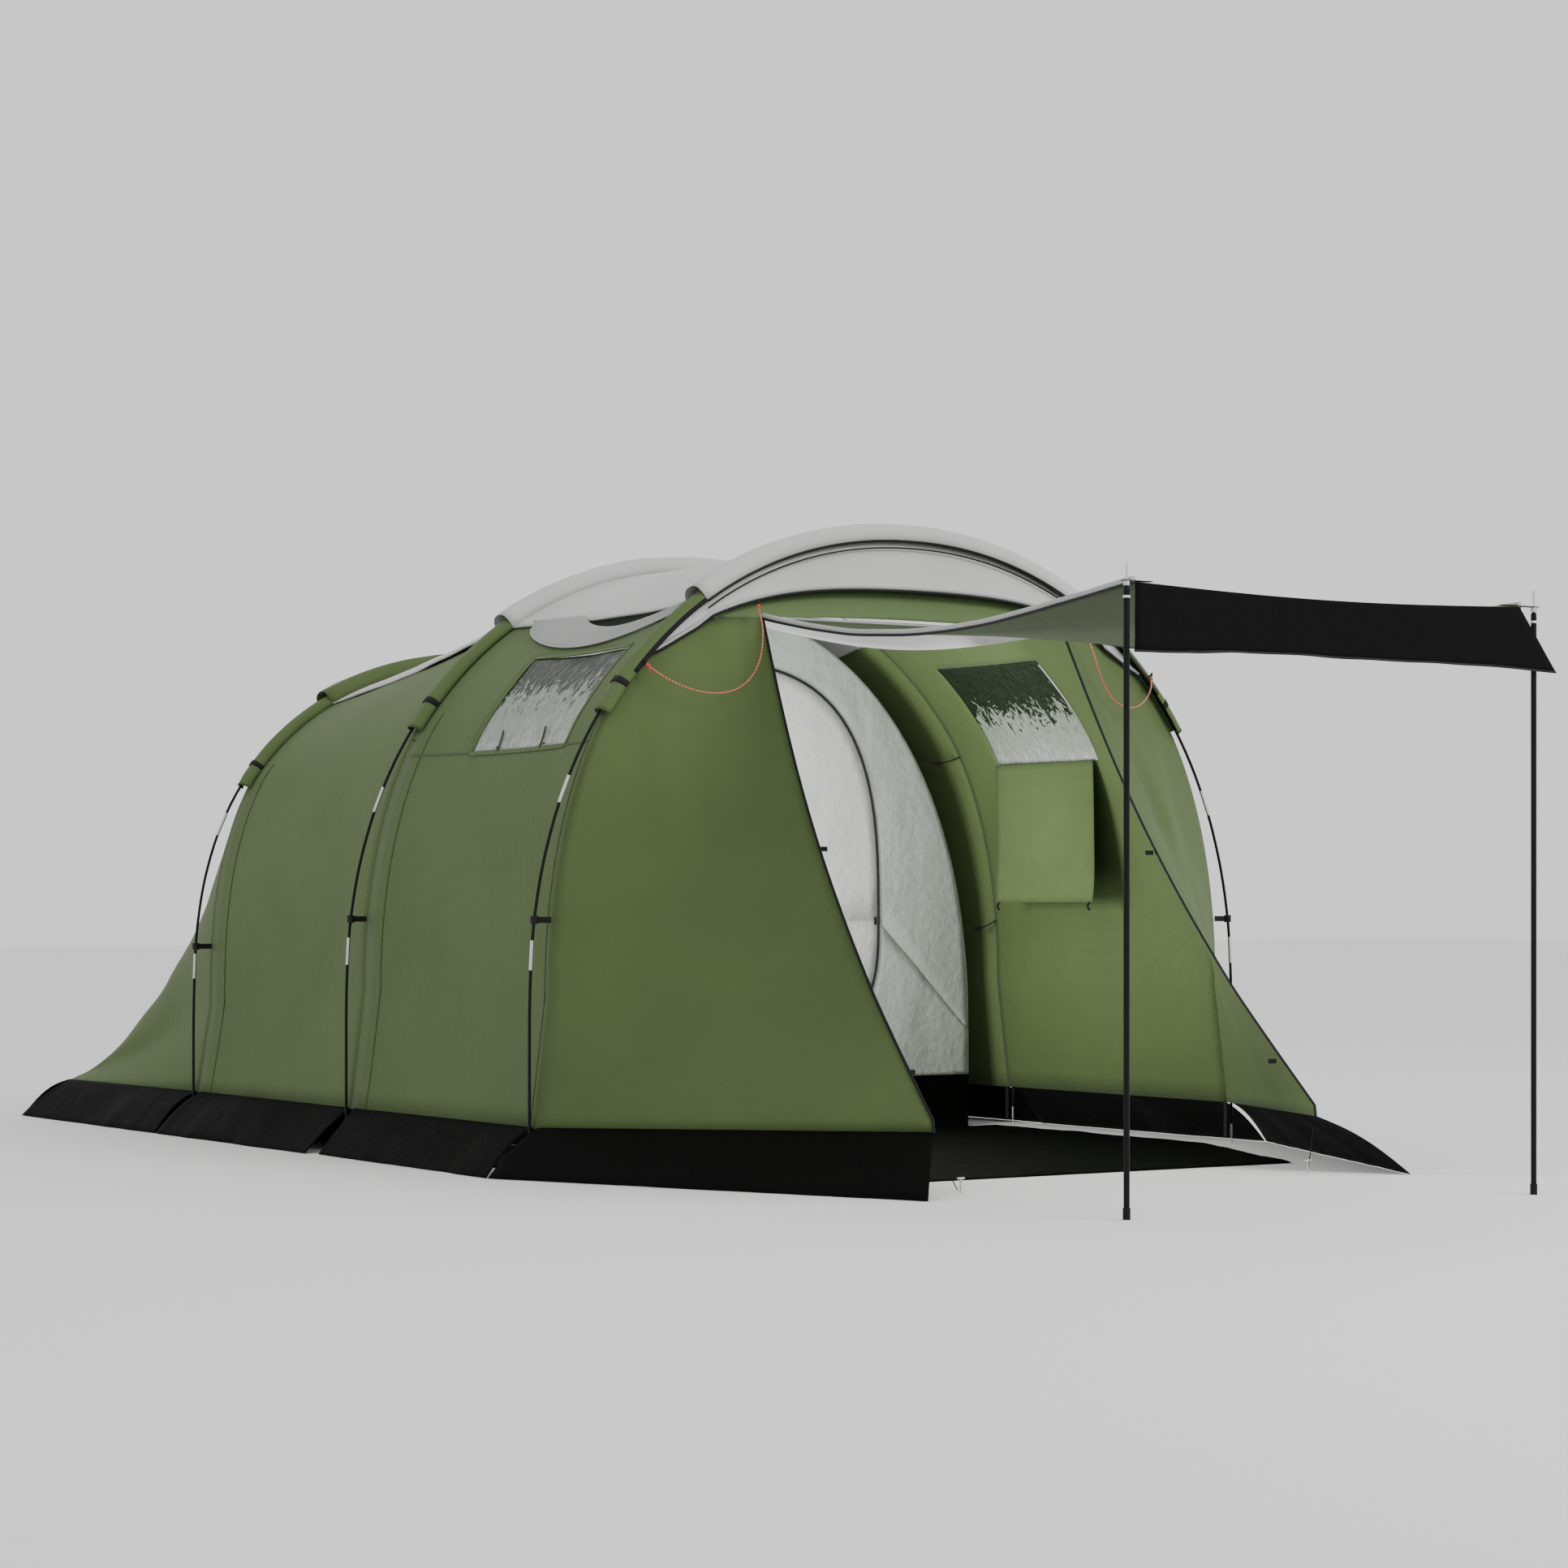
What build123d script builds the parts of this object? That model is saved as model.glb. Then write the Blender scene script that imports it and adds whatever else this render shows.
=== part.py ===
"""Four-person tunnel tent with a propped door awning, as separate sewn, rigid and moving pieces.

+X is the tent's right seen from the door, +Y runs from the door to the rear, +Z is up. The origin
is the bottom centre of the whole tent, on the ground. All sizes are in millimetres.
"""
import math
import os

from build123d import *

os.makedirs("parts", exist_ok=True)

# Driving dimensions
HALF_WIDTH = 1353.0          # ground centre line of a pole foot
ARCH_Y = {"front": -825.0, "middle": 405.0, "rear": 1635.0}
# spring height, rise and roundness of each arch curve
ARCH_SHAPE = {"front": (530.0, 1445.0, 2.1), "middle": (530.0, 1445.0, 2.1), "rear": (450.0, 1270.0, 2.5)}
POLE_R = 4.75
FERRULE_R = 5.5
FERRULE_LENGTH = 88.0
PIN_LENGTH = 66.0
PIN_R = 4.0
SLEEVE_R = 17.0
SLEEVE_BORE_R = 8.0
SLEEVE_START = {"front": 1380.0, "middle": 1380.0, "rear": 1250.0}
FERRULE_HEIGHTS = {"front": (655.0, 1150.0), "middle": (655.0, 1150.0), "rear": (590.0, 1095.0)}
HIDDEN_FERRULES = (0.36, 0.5, 0.64)
BAND_SHARE = 0.035           # from the sleeve's end to its band, as a share of the pole
BAND_WIDTH = 20.0
BAND_OFF = 1.0
BAND_WALL = 1.5
STRAP_HEIGHT = {"front": 760.0, "middle": 760.0, "rear": 660.0}

FABRIC = 2.0                 # wall of every fabric panel
GAP = 1.0                    # clearance between neighbouring pieces
BASE_Z = 140.0               # lower edge of the green fly
BASE_INSET = 20.0            # fly inside the pole at the ground
BELLY_INSET = 70.0           # fly inside the pole at the straps
SLEEVE_INSET = 24.0          # fly inside the pole at the sleeve
ROOF_ANGLE = 59.0            # where the grey roof meets the side walls
SLEEVE_ANGLE = 35.5          # where the sleeves begin

WINDOW_Y = {"right": (-405.0, 175.0), "left": (-635.0, -35.0)}
WINDOW_Z = {"right": (1315.0, 1650.0), "left": (1300.0, 1605.0)}
VENT_Y = (-780.0, -120.0)
VENT_Z = (1700.0, 1745.0)

REAR_BASE_Y = 2745.0
REAR_HALF = 1380.0
REAR_BASE_Z = 160.0
REAR_CROWN = 12.0
SKIRT_OUT = 150.0
SKIRT_REAR_Y = 2928.0
SKIRT_SLIT = 14.0

DOOR_FOOT = (705.0, -1975.0, 170.0)
DOOR_TOP = (580.0, -900.0, 1685.0)
DOOR_BOW = 105.0             # how far the door edge bows back from a straight line

PROP_X = {"left": -774.0, "right": 666.0}
AWNING_CORNER_X = (-755.0, 600.0)
AWNING_HINGE = (-904.0, 1683.0)
AWNING_BACK_HALF = 574.0
AWNING_FRONT_Y = -2923.0
AWNING_DROP = 57.0
PROP_Y = -2915.0
PROP_R = 8.0
PROP_TOP_Z = 1608.0
KNOB_R = 9.0
SPIKE_R = 2.8
SPIKE_TOP_Z = 1675.0
VALANCE_TOP_Z = 1624.0
VALANCE_BOTTOM_Z = 1450.0
VALANCE_BOTTOM_X = (-760.0, 735.0)
VALANCE_OFF = 3.0

INNER_HALF = 1165.0
# y, spring height, rise and roundness of each cross section of the bedroom
INNER_SECTIONS = ((425.0, 350.0, 1500.0, 2.2), (1600.0, 330.0, 1220.0, 2.3), (2560.0, 192.0, 60.0, 2.2))
TRAY_Z = 190.0
TRAY_WALL = 3.0
# half width, middle height, rise above it and fall below it of the bedroom door
INNER_DOOR = (765.0, 750.0, 910.0, 500.0)
INNER_DOOR_POWER = 3.0
DOOR_GAP = 2.0
MAT_HALF = 1268.0
MAT_FRONT_HALF = 900.0
MAT_Y = (-1640.0, -785.0, 390.0)

CORD_D = 4.0

# Straight runs that stand for each curve
POLE_STEPS = 24
WALL_STEPS = 7
ROOF_STEPS = 8
REAR_STEPS = 24
PORCH_LEVELS = 10
HEADER_STEPS = 10
INNER_STEPS = 16
DOOR_STEPS = 32
BISECTIONS = 30


def save(builder, label):
    """Label the finished piece and write its STEP file."""
    builder.part.label = label
    export_step(builder.part, f"parts/{label}.step")


def curve_point(half, spring, rise, power, angle):
    """Point (x, z) of a rounded arch curve, angle 0 on the right and 180 on the left."""
    a = math.radians(angle)
    x = half * math.copysign(abs(math.cos(a)) ** (2 / power), math.cos(a))
    z = spring + rise * abs(math.sin(a)) ** (2 / power)
    return x, z


def arch_angle(arch, height):
    """Angle at which an arch's curve reaches a height."""
    spring, rise, power = ARCH_SHAPE[arch]
    return math.degrees(math.asin(((height - spring) / rise) ** (power / 2)))


def tangent_radii(points, share=0.45):
    """One radius per corner: a share of the shorter run over the tangent of half the turn."""
    radii = []
    for before, corner, after in zip(points, points[1:], points[2:]):
        run_in = Vector(*corner) - Vector(*before)
        run_out = Vector(*after) - Vector(*corner)
        half_turn = math.radians(run_in.get_angle(run_out)) / 2
        radii.append(share * min(run_in.length, run_out.length) / math.tan(half_turn))
    return radii


def fly_inset(angle):
    """How far the fly lies inside the pole curve at an angle."""
    near = min(angle, 180 - angle)
    if near >= SLEEVE_ANGLE:
        return SLEEVE_INSET
    return SLEEVE_INSET + (BELLY_INSET - SLEEVE_INSET) * math.cos(math.radians(90 * near / SLEEVE_ANGLE))


def fly_point(arch, angle, skin=0.0):
    """Point of the fly's outer face over an arch; skin moves it inwards."""
    spring, rise, power = ARCH_SHAPE[arch]
    inset = fly_inset(angle) + skin
    return curve_point(HALF_WIDTH - inset, spring, rise - SLEEVE_INSET - skin, power, angle)


def fly_base(skin=0.0):
    """Foot of the fly on the right side."""
    return HALF_WIDTH - BASE_INSET - skin, BASE_Z


def wall_strip(arch):
    """Closed outline of the right side wall at an arch, outer face up and inner face back."""
    angles = [ROOF_ANGLE * i / WALL_STEPS for i in range(WALL_STEPS + 1)]
    outer = [fly_base()] + [fly_point(arch, a) for a in angles]
    inner = [fly_base(FABRIC)] + [fly_point(arch, a, FABRIC) for a in angles]
    return outer + inner[::-1]


def roof_strip(arch):
    """Closed outline of the grey roof at an arch."""
    angles = [ROOF_ANGLE + (180 - 2 * ROOF_ANGLE) * i / ROOF_STEPS for i in range(ROOF_STEPS + 1)]
    outer = [fly_point(arch, a) for a in angles]
    inner = [fly_point(arch, a, FABRIC) for a in angles]
    return outer + inner[::-1]


def lofted(sections):
    """Ruled solid through (y, outline) sections in planes across the tent."""
    with BuildPart() as panel:
        for y, points in sections:
            with BuildSketch(Plane.XZ.offset(-y)):
                with BuildLine():
                    Polyline(*points, close=True)
                make_face()
        loft(ruled=True)
    return panel.part


def both_sides(part, name):
    """Write a right-hand piece and its mirror image on the left."""
    with BuildPart() as right:
        add(part)
    save(right, f"right_{name}")
    with BuildPart() as left:
        add(part.mirror(Plane.YZ))
    save(left, f"left_{name}")


# Poles: fibreglass rods in ferrules, on steel pins
def arch_route(arch):
    """Corner points of a pole's line, from the right pin over the top to the left pin."""
    spring, rise, power = ARCH_SHAPE[arch]
    y = ARCH_Y[arch]
    angles = [180 * i / POLE_STEPS for i in range(POLE_STEPS + 1)]
    curve = [curve_point(HALF_WIDTH, spring, rise, power, angle) for angle in angles]
    side = [(HALF_WIDTH, PIN_LENGTH)] + curve + [(-HALF_WIDTH, PIN_LENGTH)]
    return [(x, y, z) for x, z in side]


def share_at_height(wire, height):
    """Share of a pole's line at which its right side passes a height."""
    low, high = 0.0, 0.5
    for _ in range(BISECTIONS):
        middle = (low + high) / 2
        if (wire @ middle).Z < height:
            low = middle
        else:
            high = middle
    return low


def across(wire, share):
    """Plane square to a line at a share of its length."""
    return Plane(origin=wire @ share, z_dir=wire % share)


arch_wires = {}
for arch in ARCH_Y:
    route = arch_route(arch)
    with BuildLine() as arch_line:
        FilletPolyline(*route, radius=tangent_radii(route))
    arch_wires[arch] = arch_line.wire()

ferrule_spots = []
band_spots = []
for arch, wire in arch_wires.items():
    side_shares = [share_at_height(wire, height) for height in FERRULE_HEIGHTS[arch]]
    shares = side_shares + list(HIDDEN_FERRULES) + [1 - share for share in side_shares]
    start = share_at_height(wire, SLEEVE_START[arch])
    spots = [across(wire, share).location for share in shares]
    ferrule_spots += spots
    with BuildPart() as ferrules:
        with Locations(*spots):
            Cylinder(FERRULE_R, FERRULE_LENGTH)
    with BuildPart() as pole:
        with BuildSketch(across(wire, 0)):
            Circle(POLE_R)
        sweep(path=wire)
        add(ferrules.part, mode=Mode.SUBTRACT)
    save(pole, f"{arch}_pole")
    sleeve_wire = wire.trim(start, 1 - start)
    with BuildPart() as sleeve:
        with BuildSketch(across(sleeve_wire, 0)):
            Circle(SLEEVE_R)
            Circle(SLEEVE_BORE_R, mode=Mode.SUBTRACT)
        sweep(path=sleeve_wire)
    save(sleeve, f"{arch}_sleeve")
    band_share = start + BAND_SHARE
    band_spots += [across(wire, share).location for share in (band_share, 1 - band_share)]

with BuildPart() as ferrules:
    with Locations(*ferrule_spots):
        Cylinder(FERRULE_R, FERRULE_LENGTH)
save(ferrules, "pole_ferrules")
with BuildPart() as bands:
    with Locations(*band_spots):
        Cylinder(SLEEVE_R + BAND_OFF + BAND_WALL, BAND_WIDTH)
        Cylinder(SLEEVE_R + BAND_OFF, BAND_WIDTH, mode=Mode.SUBTRACT)
save(bands, "sleeve_bands")

# Pin, ring tab, strap and clip at every pole foot
feet = [(side * HALF_WIDTH, y) for y in ARCH_Y.values() for side in (1, -1)]
with BuildPart() as pins:
    with Locations(*[(x, y, PIN_LENGTH / 2) for x, y in feet]):
        Cylinder(PIN_R, PIN_LENGTH)
save(pins, "pole_pins")

TAB_Z = 24.0
TAB_IN = 26.0
TAB_R = 12.0
TAB_LAP = 9.0
TAB_WIDTH = 16.0
with BuildPart() as right_tab:
    with Locations((HALF_WIDTH, 0, TAB_Z)):
        Cylinder(TAB_R, FABRIC)
        Cylinder(PIN_R + GAP, FABRIC, mode=Mode.SUBTRACT)
    with Locations((HALF_WIDTH - (TAB_IN + TAB_LAP) / 2, 0, TAB_Z)):
        Box(TAB_IN - TAB_LAP, TAB_WIDTH, FABRIC)
    with Locations((HALF_WIDTH - TAB_IN, 0, (TAB_Z - FABRIC / 2 + BASE_Z) / 2)):
        Box(FABRIC, TAB_WIDTH, BASE_Z - TAB_Z + FABRIC / 2)
with BuildPart() as tabs:
    for y in ARCH_Y.values():
        placed = right_tab.part.moved(Location((0, y, 0)))
        add(placed)
        add(placed.mirror(Plane.YZ))
save(tabs, "pole_tabs")

CLIP_BORE_R = 8.5
CLIP_R = 12.0
CLIP_HEIGHT = 24.0
CLIP_IN = 3.0
STRAP_WALL = 3.0
STRAP_WIDTH = 18.0
STRAP_REACH = 3.0            # degrees of arc beside the strap that it has to clear
with BuildPart() as clips:
    for arch, y in ARCH_Y.items():
        height = STRAP_HEIGHT[arch]
        spring, rise, power = ARCH_SHAPE[arch]
        x = curve_point(HALF_WIDTH, spring, rise, power, arch_angle(arch, height))[0] - CLIP_IN
        with Locations((x, y, height), (-x, y, height)):
            Cylinder(CLIP_R, CLIP_HEIGHT)
            Cylinder(CLIP_BORE_R, CLIP_HEIGHT, mode=Mode.SUBTRACT)
save(clips, "strap_clips")
with BuildPart() as straps:
    for arch, y in ARCH_Y.items():
        height = STRAP_HEIGHT[arch]
        spring, rise, power = ARCH_SHAPE[arch]
        angle = arch_angle(arch, height)
        x_out = curve_point(HALF_WIDTH, spring, rise, power, angle)[0] - CLIP_IN - CLIP_R - GAP
        x_in = max(fly_point(arch, angle + turn)[0] for turn in (-STRAP_REACH, STRAP_REACH)) + GAP
        middle = (x_in + x_out) / 2
        with Locations((middle, y, height), (-middle, y, height)):
            Box(x_out - x_in, STRAP_WALL, STRAP_WIDTH)
save(straps, "strap_webbing")

# Fly: roof, walls and rear panel
roof = {arch: roof_strip(arch) for arch in ARCH_Y}
wall = {arch: wall_strip(arch) for arch in ARCH_Y}
for bay, ends in {"front_bay": ("front", "middle"), "rear_bay": ("middle", "rear")}.items():
    with BuildPart() as bay_roof:
        add(lofted([(ARCH_Y[end], roof[end]) for end in ends]))
    save(bay_roof, f"{bay}_roof")

front_wall = lofted([(ARCH_Y[end], wall[end]) for end in ("front", "middle")])
both_sides(lofted([(ARCH_Y[end], wall[end]) for end in ("middle", "rear")]), "rear_bay_wall")


CUT_INSIDE = 100.0


def side_box(side, y_range, z_range):
    """Long box across one side wall, for cutting an opening in it."""
    size = (HALF_WIDTH, y_range[1] - y_range[0], z_range[1] - z_range[0])
    centre = (side * (HALF_WIDTH / 2 + CUT_INSIDE), sum(y_range) / 2, sum(z_range) / 2)
    return Pos(*centre) * Box(*size)


for side, name in ((1, "right"), (-1, "left")):
    whole = front_wall if side > 0 else front_wall.mirror(Plane.YZ)
    window_box = side_box(side, WINDOW_Y[name], WINDOW_Z[name])
    vent_box = side_box(side, VENT_Y, VENT_Z)
    with BuildPart() as bay_wall:
        add(whole)
        add(window_box, mode=Mode.SUBTRACT)
        add(vent_box, mode=Mode.SUBTRACT)
    save(bay_wall, f"{name}_front_bay_wall")
    with BuildPart() as window:
        add(whole)
        add(window_box, mode=Mode.INTERSECT)
    save(window, f"{name}_window")
    with BuildPart() as mesh:
        add(whole)
        add(vent_box, mode=Mode.INTERSECT)
    save(mesh, f"{name}_vent_mesh")


def rear_outline(at_ground):
    """Outline of the rear cap, over the rear arch or along its ground edge."""
    scale = REAR_HALF / (HALF_WIDTH - BASE_INSET)

    def side(skin):
        foot = HALF_WIDTH - BASE_INSET - skin
        curve = [fly_point("rear", 180 * i / REAR_STEPS, skin) for i in range(REAR_STEPS + 1)]
        if at_ground:
            foot = foot * scale
            curve = [(x * scale, REAR_BASE_Z + REAR_CROWN * (1 - (x / foot) ** 2) - skin) for x, z in curve]
        return [(foot, BASE_Z)] + curve + [(-foot, BASE_Z)]

    return side(0.0) + side(FABRIC)[::-1]


with BuildPart() as rear_panel:
    add(lofted([(ARCH_Y["rear"], rear_outline(False)), (REAR_BASE_Y, rear_outline(True))]))
save(rear_panel, "rear_panel")

# Porch: side walls up to the doorway, header, hood
def door_edge(height):
    """Right door edge (x, y) at a height."""
    share = (height - DOOR_FOOT[2]) / (DOOR_TOP[2] - DOOR_FOOT[2])
    bow = DOOR_BOW * math.sin(math.pi * share)
    x = DOOR_FOOT[0] + (DOOR_TOP[0] - DOOR_FOOT[0]) * share
    return x, DOOR_FOOT[1] + (DOOR_TOP[1] - DOOR_FOOT[1]) * share + bow


def front_fly_x(height):
    """Outer x of the fly at the front arch at a height."""
    spring, rise, power = ARCH_SHAPE["front"]
    if height <= spring:
        foot = HALF_WIDTH - BASE_INSET
        knee = fly_point("front", 0)[0]
        return foot + (knee - foot) * (height - BASE_Z) / (spring - BASE_Z)
    low, high = 0.0, 90.0
    for _ in range(BISECTIONS):
        middle = (low + high) / 2
        if fly_point("front", middle)[1] < height:
            low = middle
        else:
            high = middle
    return fly_point("front", low)[0]


with BuildPart() as porch_wall:
    for i in range(PORCH_LEVELS + 1):
        height = BASE_Z + (DOOR_TOP[2] - BASE_Z) * i / PORCH_LEVELS
        door_x, door_y = door_edge(max(height, DOOR_FOOT[2]))
        arch_x = front_fly_x(height)
        arch_y = ARCH_Y["front"]
        with BuildSketch(Plane.XY.offset(height)):
            with BuildLine():
                Polyline(
                    (arch_x, arch_y),
                    (door_x, door_y),
                    (door_x - FABRIC, door_y + FABRIC),
                    (arch_x - FABRIC, arch_y),
                    close=True,
                )
            make_face()
    loft(ruled=True)
both_sides(porch_wall.part, "porch_wall")

HEADER_START = 54.0
HEADER_LIFT = 3.0
HEADER_CROWN = 12.0
HEADER_INSET = 4.0


def header_strip(at_arch, skin=0.0):
    """Points from right to left along the top of the porch, over the arch or the door."""
    points = []
    for i in range(HEADER_STEPS + 1):
        angle = HEADER_START + (180 - 2 * HEADER_START) * i / HEADER_STEPS
        if at_arch:
            points.append(fly_point("front", angle, skin))
        else:
            share = 1 - 2 * i / HEADER_STEPS
            z = DOOR_TOP[2] + HEADER_LIFT + HEADER_CROWN * (1 - share**2) - skin
            points.append(((DOOR_TOP[0] - HEADER_INSET) * share, z))
    return points


with BuildPart() as header:
    arch_side = header_strip(True) + header_strip(True, FABRIC)[::-1]
    door_side = header_strip(False) + header_strip(False, FABRIC)[::-1]
    add(lofted([(ARCH_Y["front"], arch_side), (DOOR_TOP[1], door_side)]))
save(header, "door_header")

HOOD_LIFT = 4.0
HOOD_DROP = 45.0
HOOD_BACK_Y = ARCH_Y["front"] - SLEEVE_R - 6
HOOD_FRONT_Y = ARCH_Y["front"] - 62
with BuildPart() as hood:
    top = [(x, z + HOOD_LIFT) for x, z in header_strip(True)]
    under = [(x, z + HOOD_LIFT - FABRIC) for x, z in header_strip(True)]
    lip = [(x, z - HOOD_DROP) for x, z in top]
    lip_under = [(x, z - HOOD_DROP) for x, z in under]
    add(lofted([(HOOD_BACK_Y, top + under[::-1]), (HOOD_FRONT_Y, lip + lip_under[::-1])]))
save(hood, "porch_hood")

# Skirts: black flaps from the fly's lower edge out to the ground, slit at every pole
def flap(top, bottom):
    """Sloping flap between two corner lists, one at the fly and one on the ground."""
    with BuildPart() as sloping:
        for height, points in ((0.0, bottom), (BASE_Z - GAP, top)):
            with BuildSketch(Plane.XY.offset(height)):
                with BuildLine():
                    Polyline(*points, close=True)
                make_face()
        loft(ruled=True)
    return sloping.part


def band(start, end, width):
    """Narrow outline on a plan between two points, widened towards the tent's middle."""
    return [start, end, (end[0] - width, end[1]), (start[0] - width, start[1])]


FOOT_X = HALF_WIDTH - BASE_INSET
SKIRT_X = HALF_WIDTH + SKIRT_OUT
CORNER_GAP = 4.0             # between the side and rear skirts at the rear corners
skirt_ends = [(ARCH_Y["front"], ARCH_Y["middle"]), (ARCH_Y["middle"], ARCH_Y["rear"])]
with BuildPart() as side_skirt:
    for y_start, y_end in skirt_ends:
        span = (y_start + SKIRT_SLIT, y_end - SKIRT_SLIT)
        top = band((FOOT_X, span[0]), (FOOT_X, span[1]), FABRIC)
        add(flap(top, band((SKIRT_X, span[0]), (SKIRT_X, span[1]), FABRIC + GAP)))
    y_start = ARCH_Y["rear"] + SKIRT_SLIT
    top = band((FOOT_X, y_start), (REAR_HALF - GAP, REAR_BASE_Y), FABRIC)
    add(flap(top, band((SKIRT_X, y_start), (SKIRT_X, SKIRT_REAR_Y - CORNER_GAP), FABRIC + GAP)))
both_sides(side_skirt.part, "skirt")

PORCH_SKIRT_END = (885.0, -2200.0)
porch_top = band((DOOR_FOOT[0], DOOR_FOOT[1]), (FOOT_X, ARCH_Y["front"] - SKIRT_SLIT), FABRIC)
porch_bottom = band(PORCH_SKIRT_END, (SKIRT_X, ARCH_Y["front"] - SKIRT_SLIT), FABRIC + GAP)
both_sides(flap(porch_top, porch_bottom), "porch_skirt")

with BuildPart() as rear_skirt:
    top_half = REAR_HALF - CORNER_GAP
    low_half = SKIRT_X - 2 * CORNER_GAP
    top = [(-top_half, REAR_BASE_Y), (top_half, REAR_BASE_Y)]
    top += [(top_half, REAR_BASE_Y - FABRIC), (-top_half, REAR_BASE_Y - FABRIC)]
    low = [(-low_half, SKIRT_REAR_Y), (low_half, SKIRT_REAR_Y)]
    low += [(low_half, SKIRT_REAR_Y - FABRIC - GAP), (-low_half, SKIRT_REAR_Y - FABRIC - GAP)]
    add(flap(top, low))
save(rear_skirt, "rear_skirt")

# Vent scoops, hinged along their lower edge
SCOOP_Y = (-790.0, 190.0)
SCOOP_Z = (1672.0, 1732.0)
SCOOP_OFF = (8.0, 42.0)
with BuildPart() as scoop:
    low = (front_fly_x(SCOOP_Z[0]) + SCOOP_OFF[0], SCOOP_Z[0])
    high = (front_fly_x(SCOOP_Z[1]) + SCOOP_OFF[1], SCOOP_Z[1])
    add(lofted([(y, [low, high, (high[0] + FABRIC, high[1]), (low[0] + FABRIC, low[1])]) for y in SCOOP_Y]))
both_sides(scoop.part, "vent_scoop")

# Curtains below the windows and the toggles that hold them when rolled up
CURTAIN_TOP_Z = 1306.0
CURTAIN_HEIGHT = 490.0
CURTAIN_IN = 32.0
CURTAIN_MARGIN = 10.0
curtain_x = front_fly_x(CURTAIN_TOP_Z) - CURTAIN_IN
TOGGLE = (8.0, 10.0, 26.0)
TOGGLE_Z = 1292.0
TOGGLE_OUT = 14.0
TOGGLE_SHARES = (0.25, 0.75)
toggle_spots = []
for side, name in ((1, "right"), (-1, "left")):
    y_low, y_high = WINDOW_Y[name]
    with BuildPart() as curtain:
        with Locations((side * curtain_x, (y_low + y_high) / 2, CURTAIN_TOP_Z - CURTAIN_HEIGHT / 2)):
            Box(FABRIC, y_high - y_low - 2 * CURTAIN_MARGIN, CURTAIN_HEIGHT)
    save(curtain, f"{name}_curtain")
    for share in TOGGLE_SHARES:
        toggle_spots.append((side * (curtain_x + TOGGLE_OUT), y_low + (y_high - y_low) * share, TOGGLE_Z))
with BuildPart() as toggles:
    with Locations(*toggle_spots):
        Box(*TOGGLE)
save(toggles, "curtain_toggles")

# Tie tabs on the door edge
TAB_HEIGHTS = (330.0, 970.0)
TIE_TAB = (30.0, 3.0, 14.0)
TIE_TAB_IN = (20.0, 12.0)
with BuildPart() as tie_tabs:
    for height in TAB_HEIGHTS:
        x, y = door_edge(height)
        x, y = x - TIE_TAB_IN[0], y + TIE_TAB_IN[1]
        with Locations((x, y, height), (-x, y, height)):
            Box(*TIE_TAB)
save(tie_tabs, "door_tie_tabs")

# Awning: door panel propped up, its valance, props, knobs with spikes, corner webbing
hinge_y, hinge_z = AWNING_HINGE
with BuildPart() as canopy:
    top, under = hinge_z + FABRIC / 2, hinge_z - FABRIC / 2
    x_left, x_right = AWNING_CORNER_X
    back = [(-AWNING_BACK_HALF, under), (AWNING_BACK_HALF, under)]
    back += [(AWNING_BACK_HALF, top), (-AWNING_BACK_HALF, top)]
    front = [(x_left, under - AWNING_DROP), (x_right, under - AWNING_DROP)]
    front += [(x_right, top - AWNING_DROP), (x_left, top - AWNING_DROP)]
    add(lofted([(hinge_y, back), (AWNING_FRONT_Y, front)]))
save(canopy, "awning_canopy")
with BuildPart() as valance:
    with BuildSketch(Plane.XZ.offset(VALANCE_OFF - AWNING_FRONT_Y)):
        with BuildLine():
            Polyline(
                (AWNING_CORNER_X[0], VALANCE_TOP_Z),
                (AWNING_CORNER_X[1], VALANCE_TOP_Z),
                (VALANCE_BOTTOM_X[1], VALANCE_BOTTOM_Z),
                (VALANCE_BOTTOM_X[0], VALANCE_BOTTOM_Z),
                close=True,
            )
        make_face()
    extrude(amount=FABRIC)
save(valance, "awning_valance")

WEB_OFF = 2.2                # from the canopy's top face to the middle of the webbing
WEB_LAP = 60.0
WEB_END = 12.0
WEB_WIDTH = 20.0
EYELET_WALL = 1.0
KNOB_GAPS = (0.6, 0.3)
WEB_Z = hinge_z + FABRIC / 2 - AWNING_DROP + WEB_OFF
KNOB_Z = (PROP_TOP_Z + PROP_R + KNOB_GAPS[0], WEB_Z - FABRIC / 2 - KNOB_GAPS[1])
with BuildPart() as webbing:
    for name, corner in (("left", AWNING_CORNER_X[0] + WEB_LAP), ("right", AWNING_CORNER_X[1] - WEB_LAP)):
        outer = PROP_X[name] + math.copysign(WEB_END, corner)
        with Locations(((corner + outer) / 2, PROP_Y, WEB_Z)):
            Box(abs(corner - outer), WEB_WIDTH, FABRIC)
        with Locations((PROP_X[name], PROP_Y, WEB_Z)):
            Cylinder(SPIKE_R + GAP, 4 * FABRIC, mode=Mode.SUBTRACT)
save(webbing, "awning_webbing")
with BuildPart() as eyelets:
    with Locations(*[(x, PROP_Y, WEB_Z + (FABRIC + EYELET_WALL) / 2) for x in PROP_X.values()]):
        Cylinder(KNOB_R, EYELET_WALL)
        Cylinder(SPIKE_R + GAP, EYELET_WALL, mode=Mode.SUBTRACT)
save(eyelets, "awning_eyelets")
with BuildPart() as spikes:
    for x in PROP_X.values():
        with BuildSketch(Plane.XY.offset(KNOB_Z[0])):
            with Locations((x, PROP_Y)):
                Circle(KNOB_R)
        extrude(amount=KNOB_Z[1] - KNOB_Z[0])
        with BuildSketch(Plane.XY.offset(KNOB_Z[0])):
            with Locations((x, PROP_Y)):
                Circle(SPIKE_R)
        extrude(amount=SPIKE_TOP_Z - KNOB_Z[0])
save(spikes, "prop_spikes")

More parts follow.
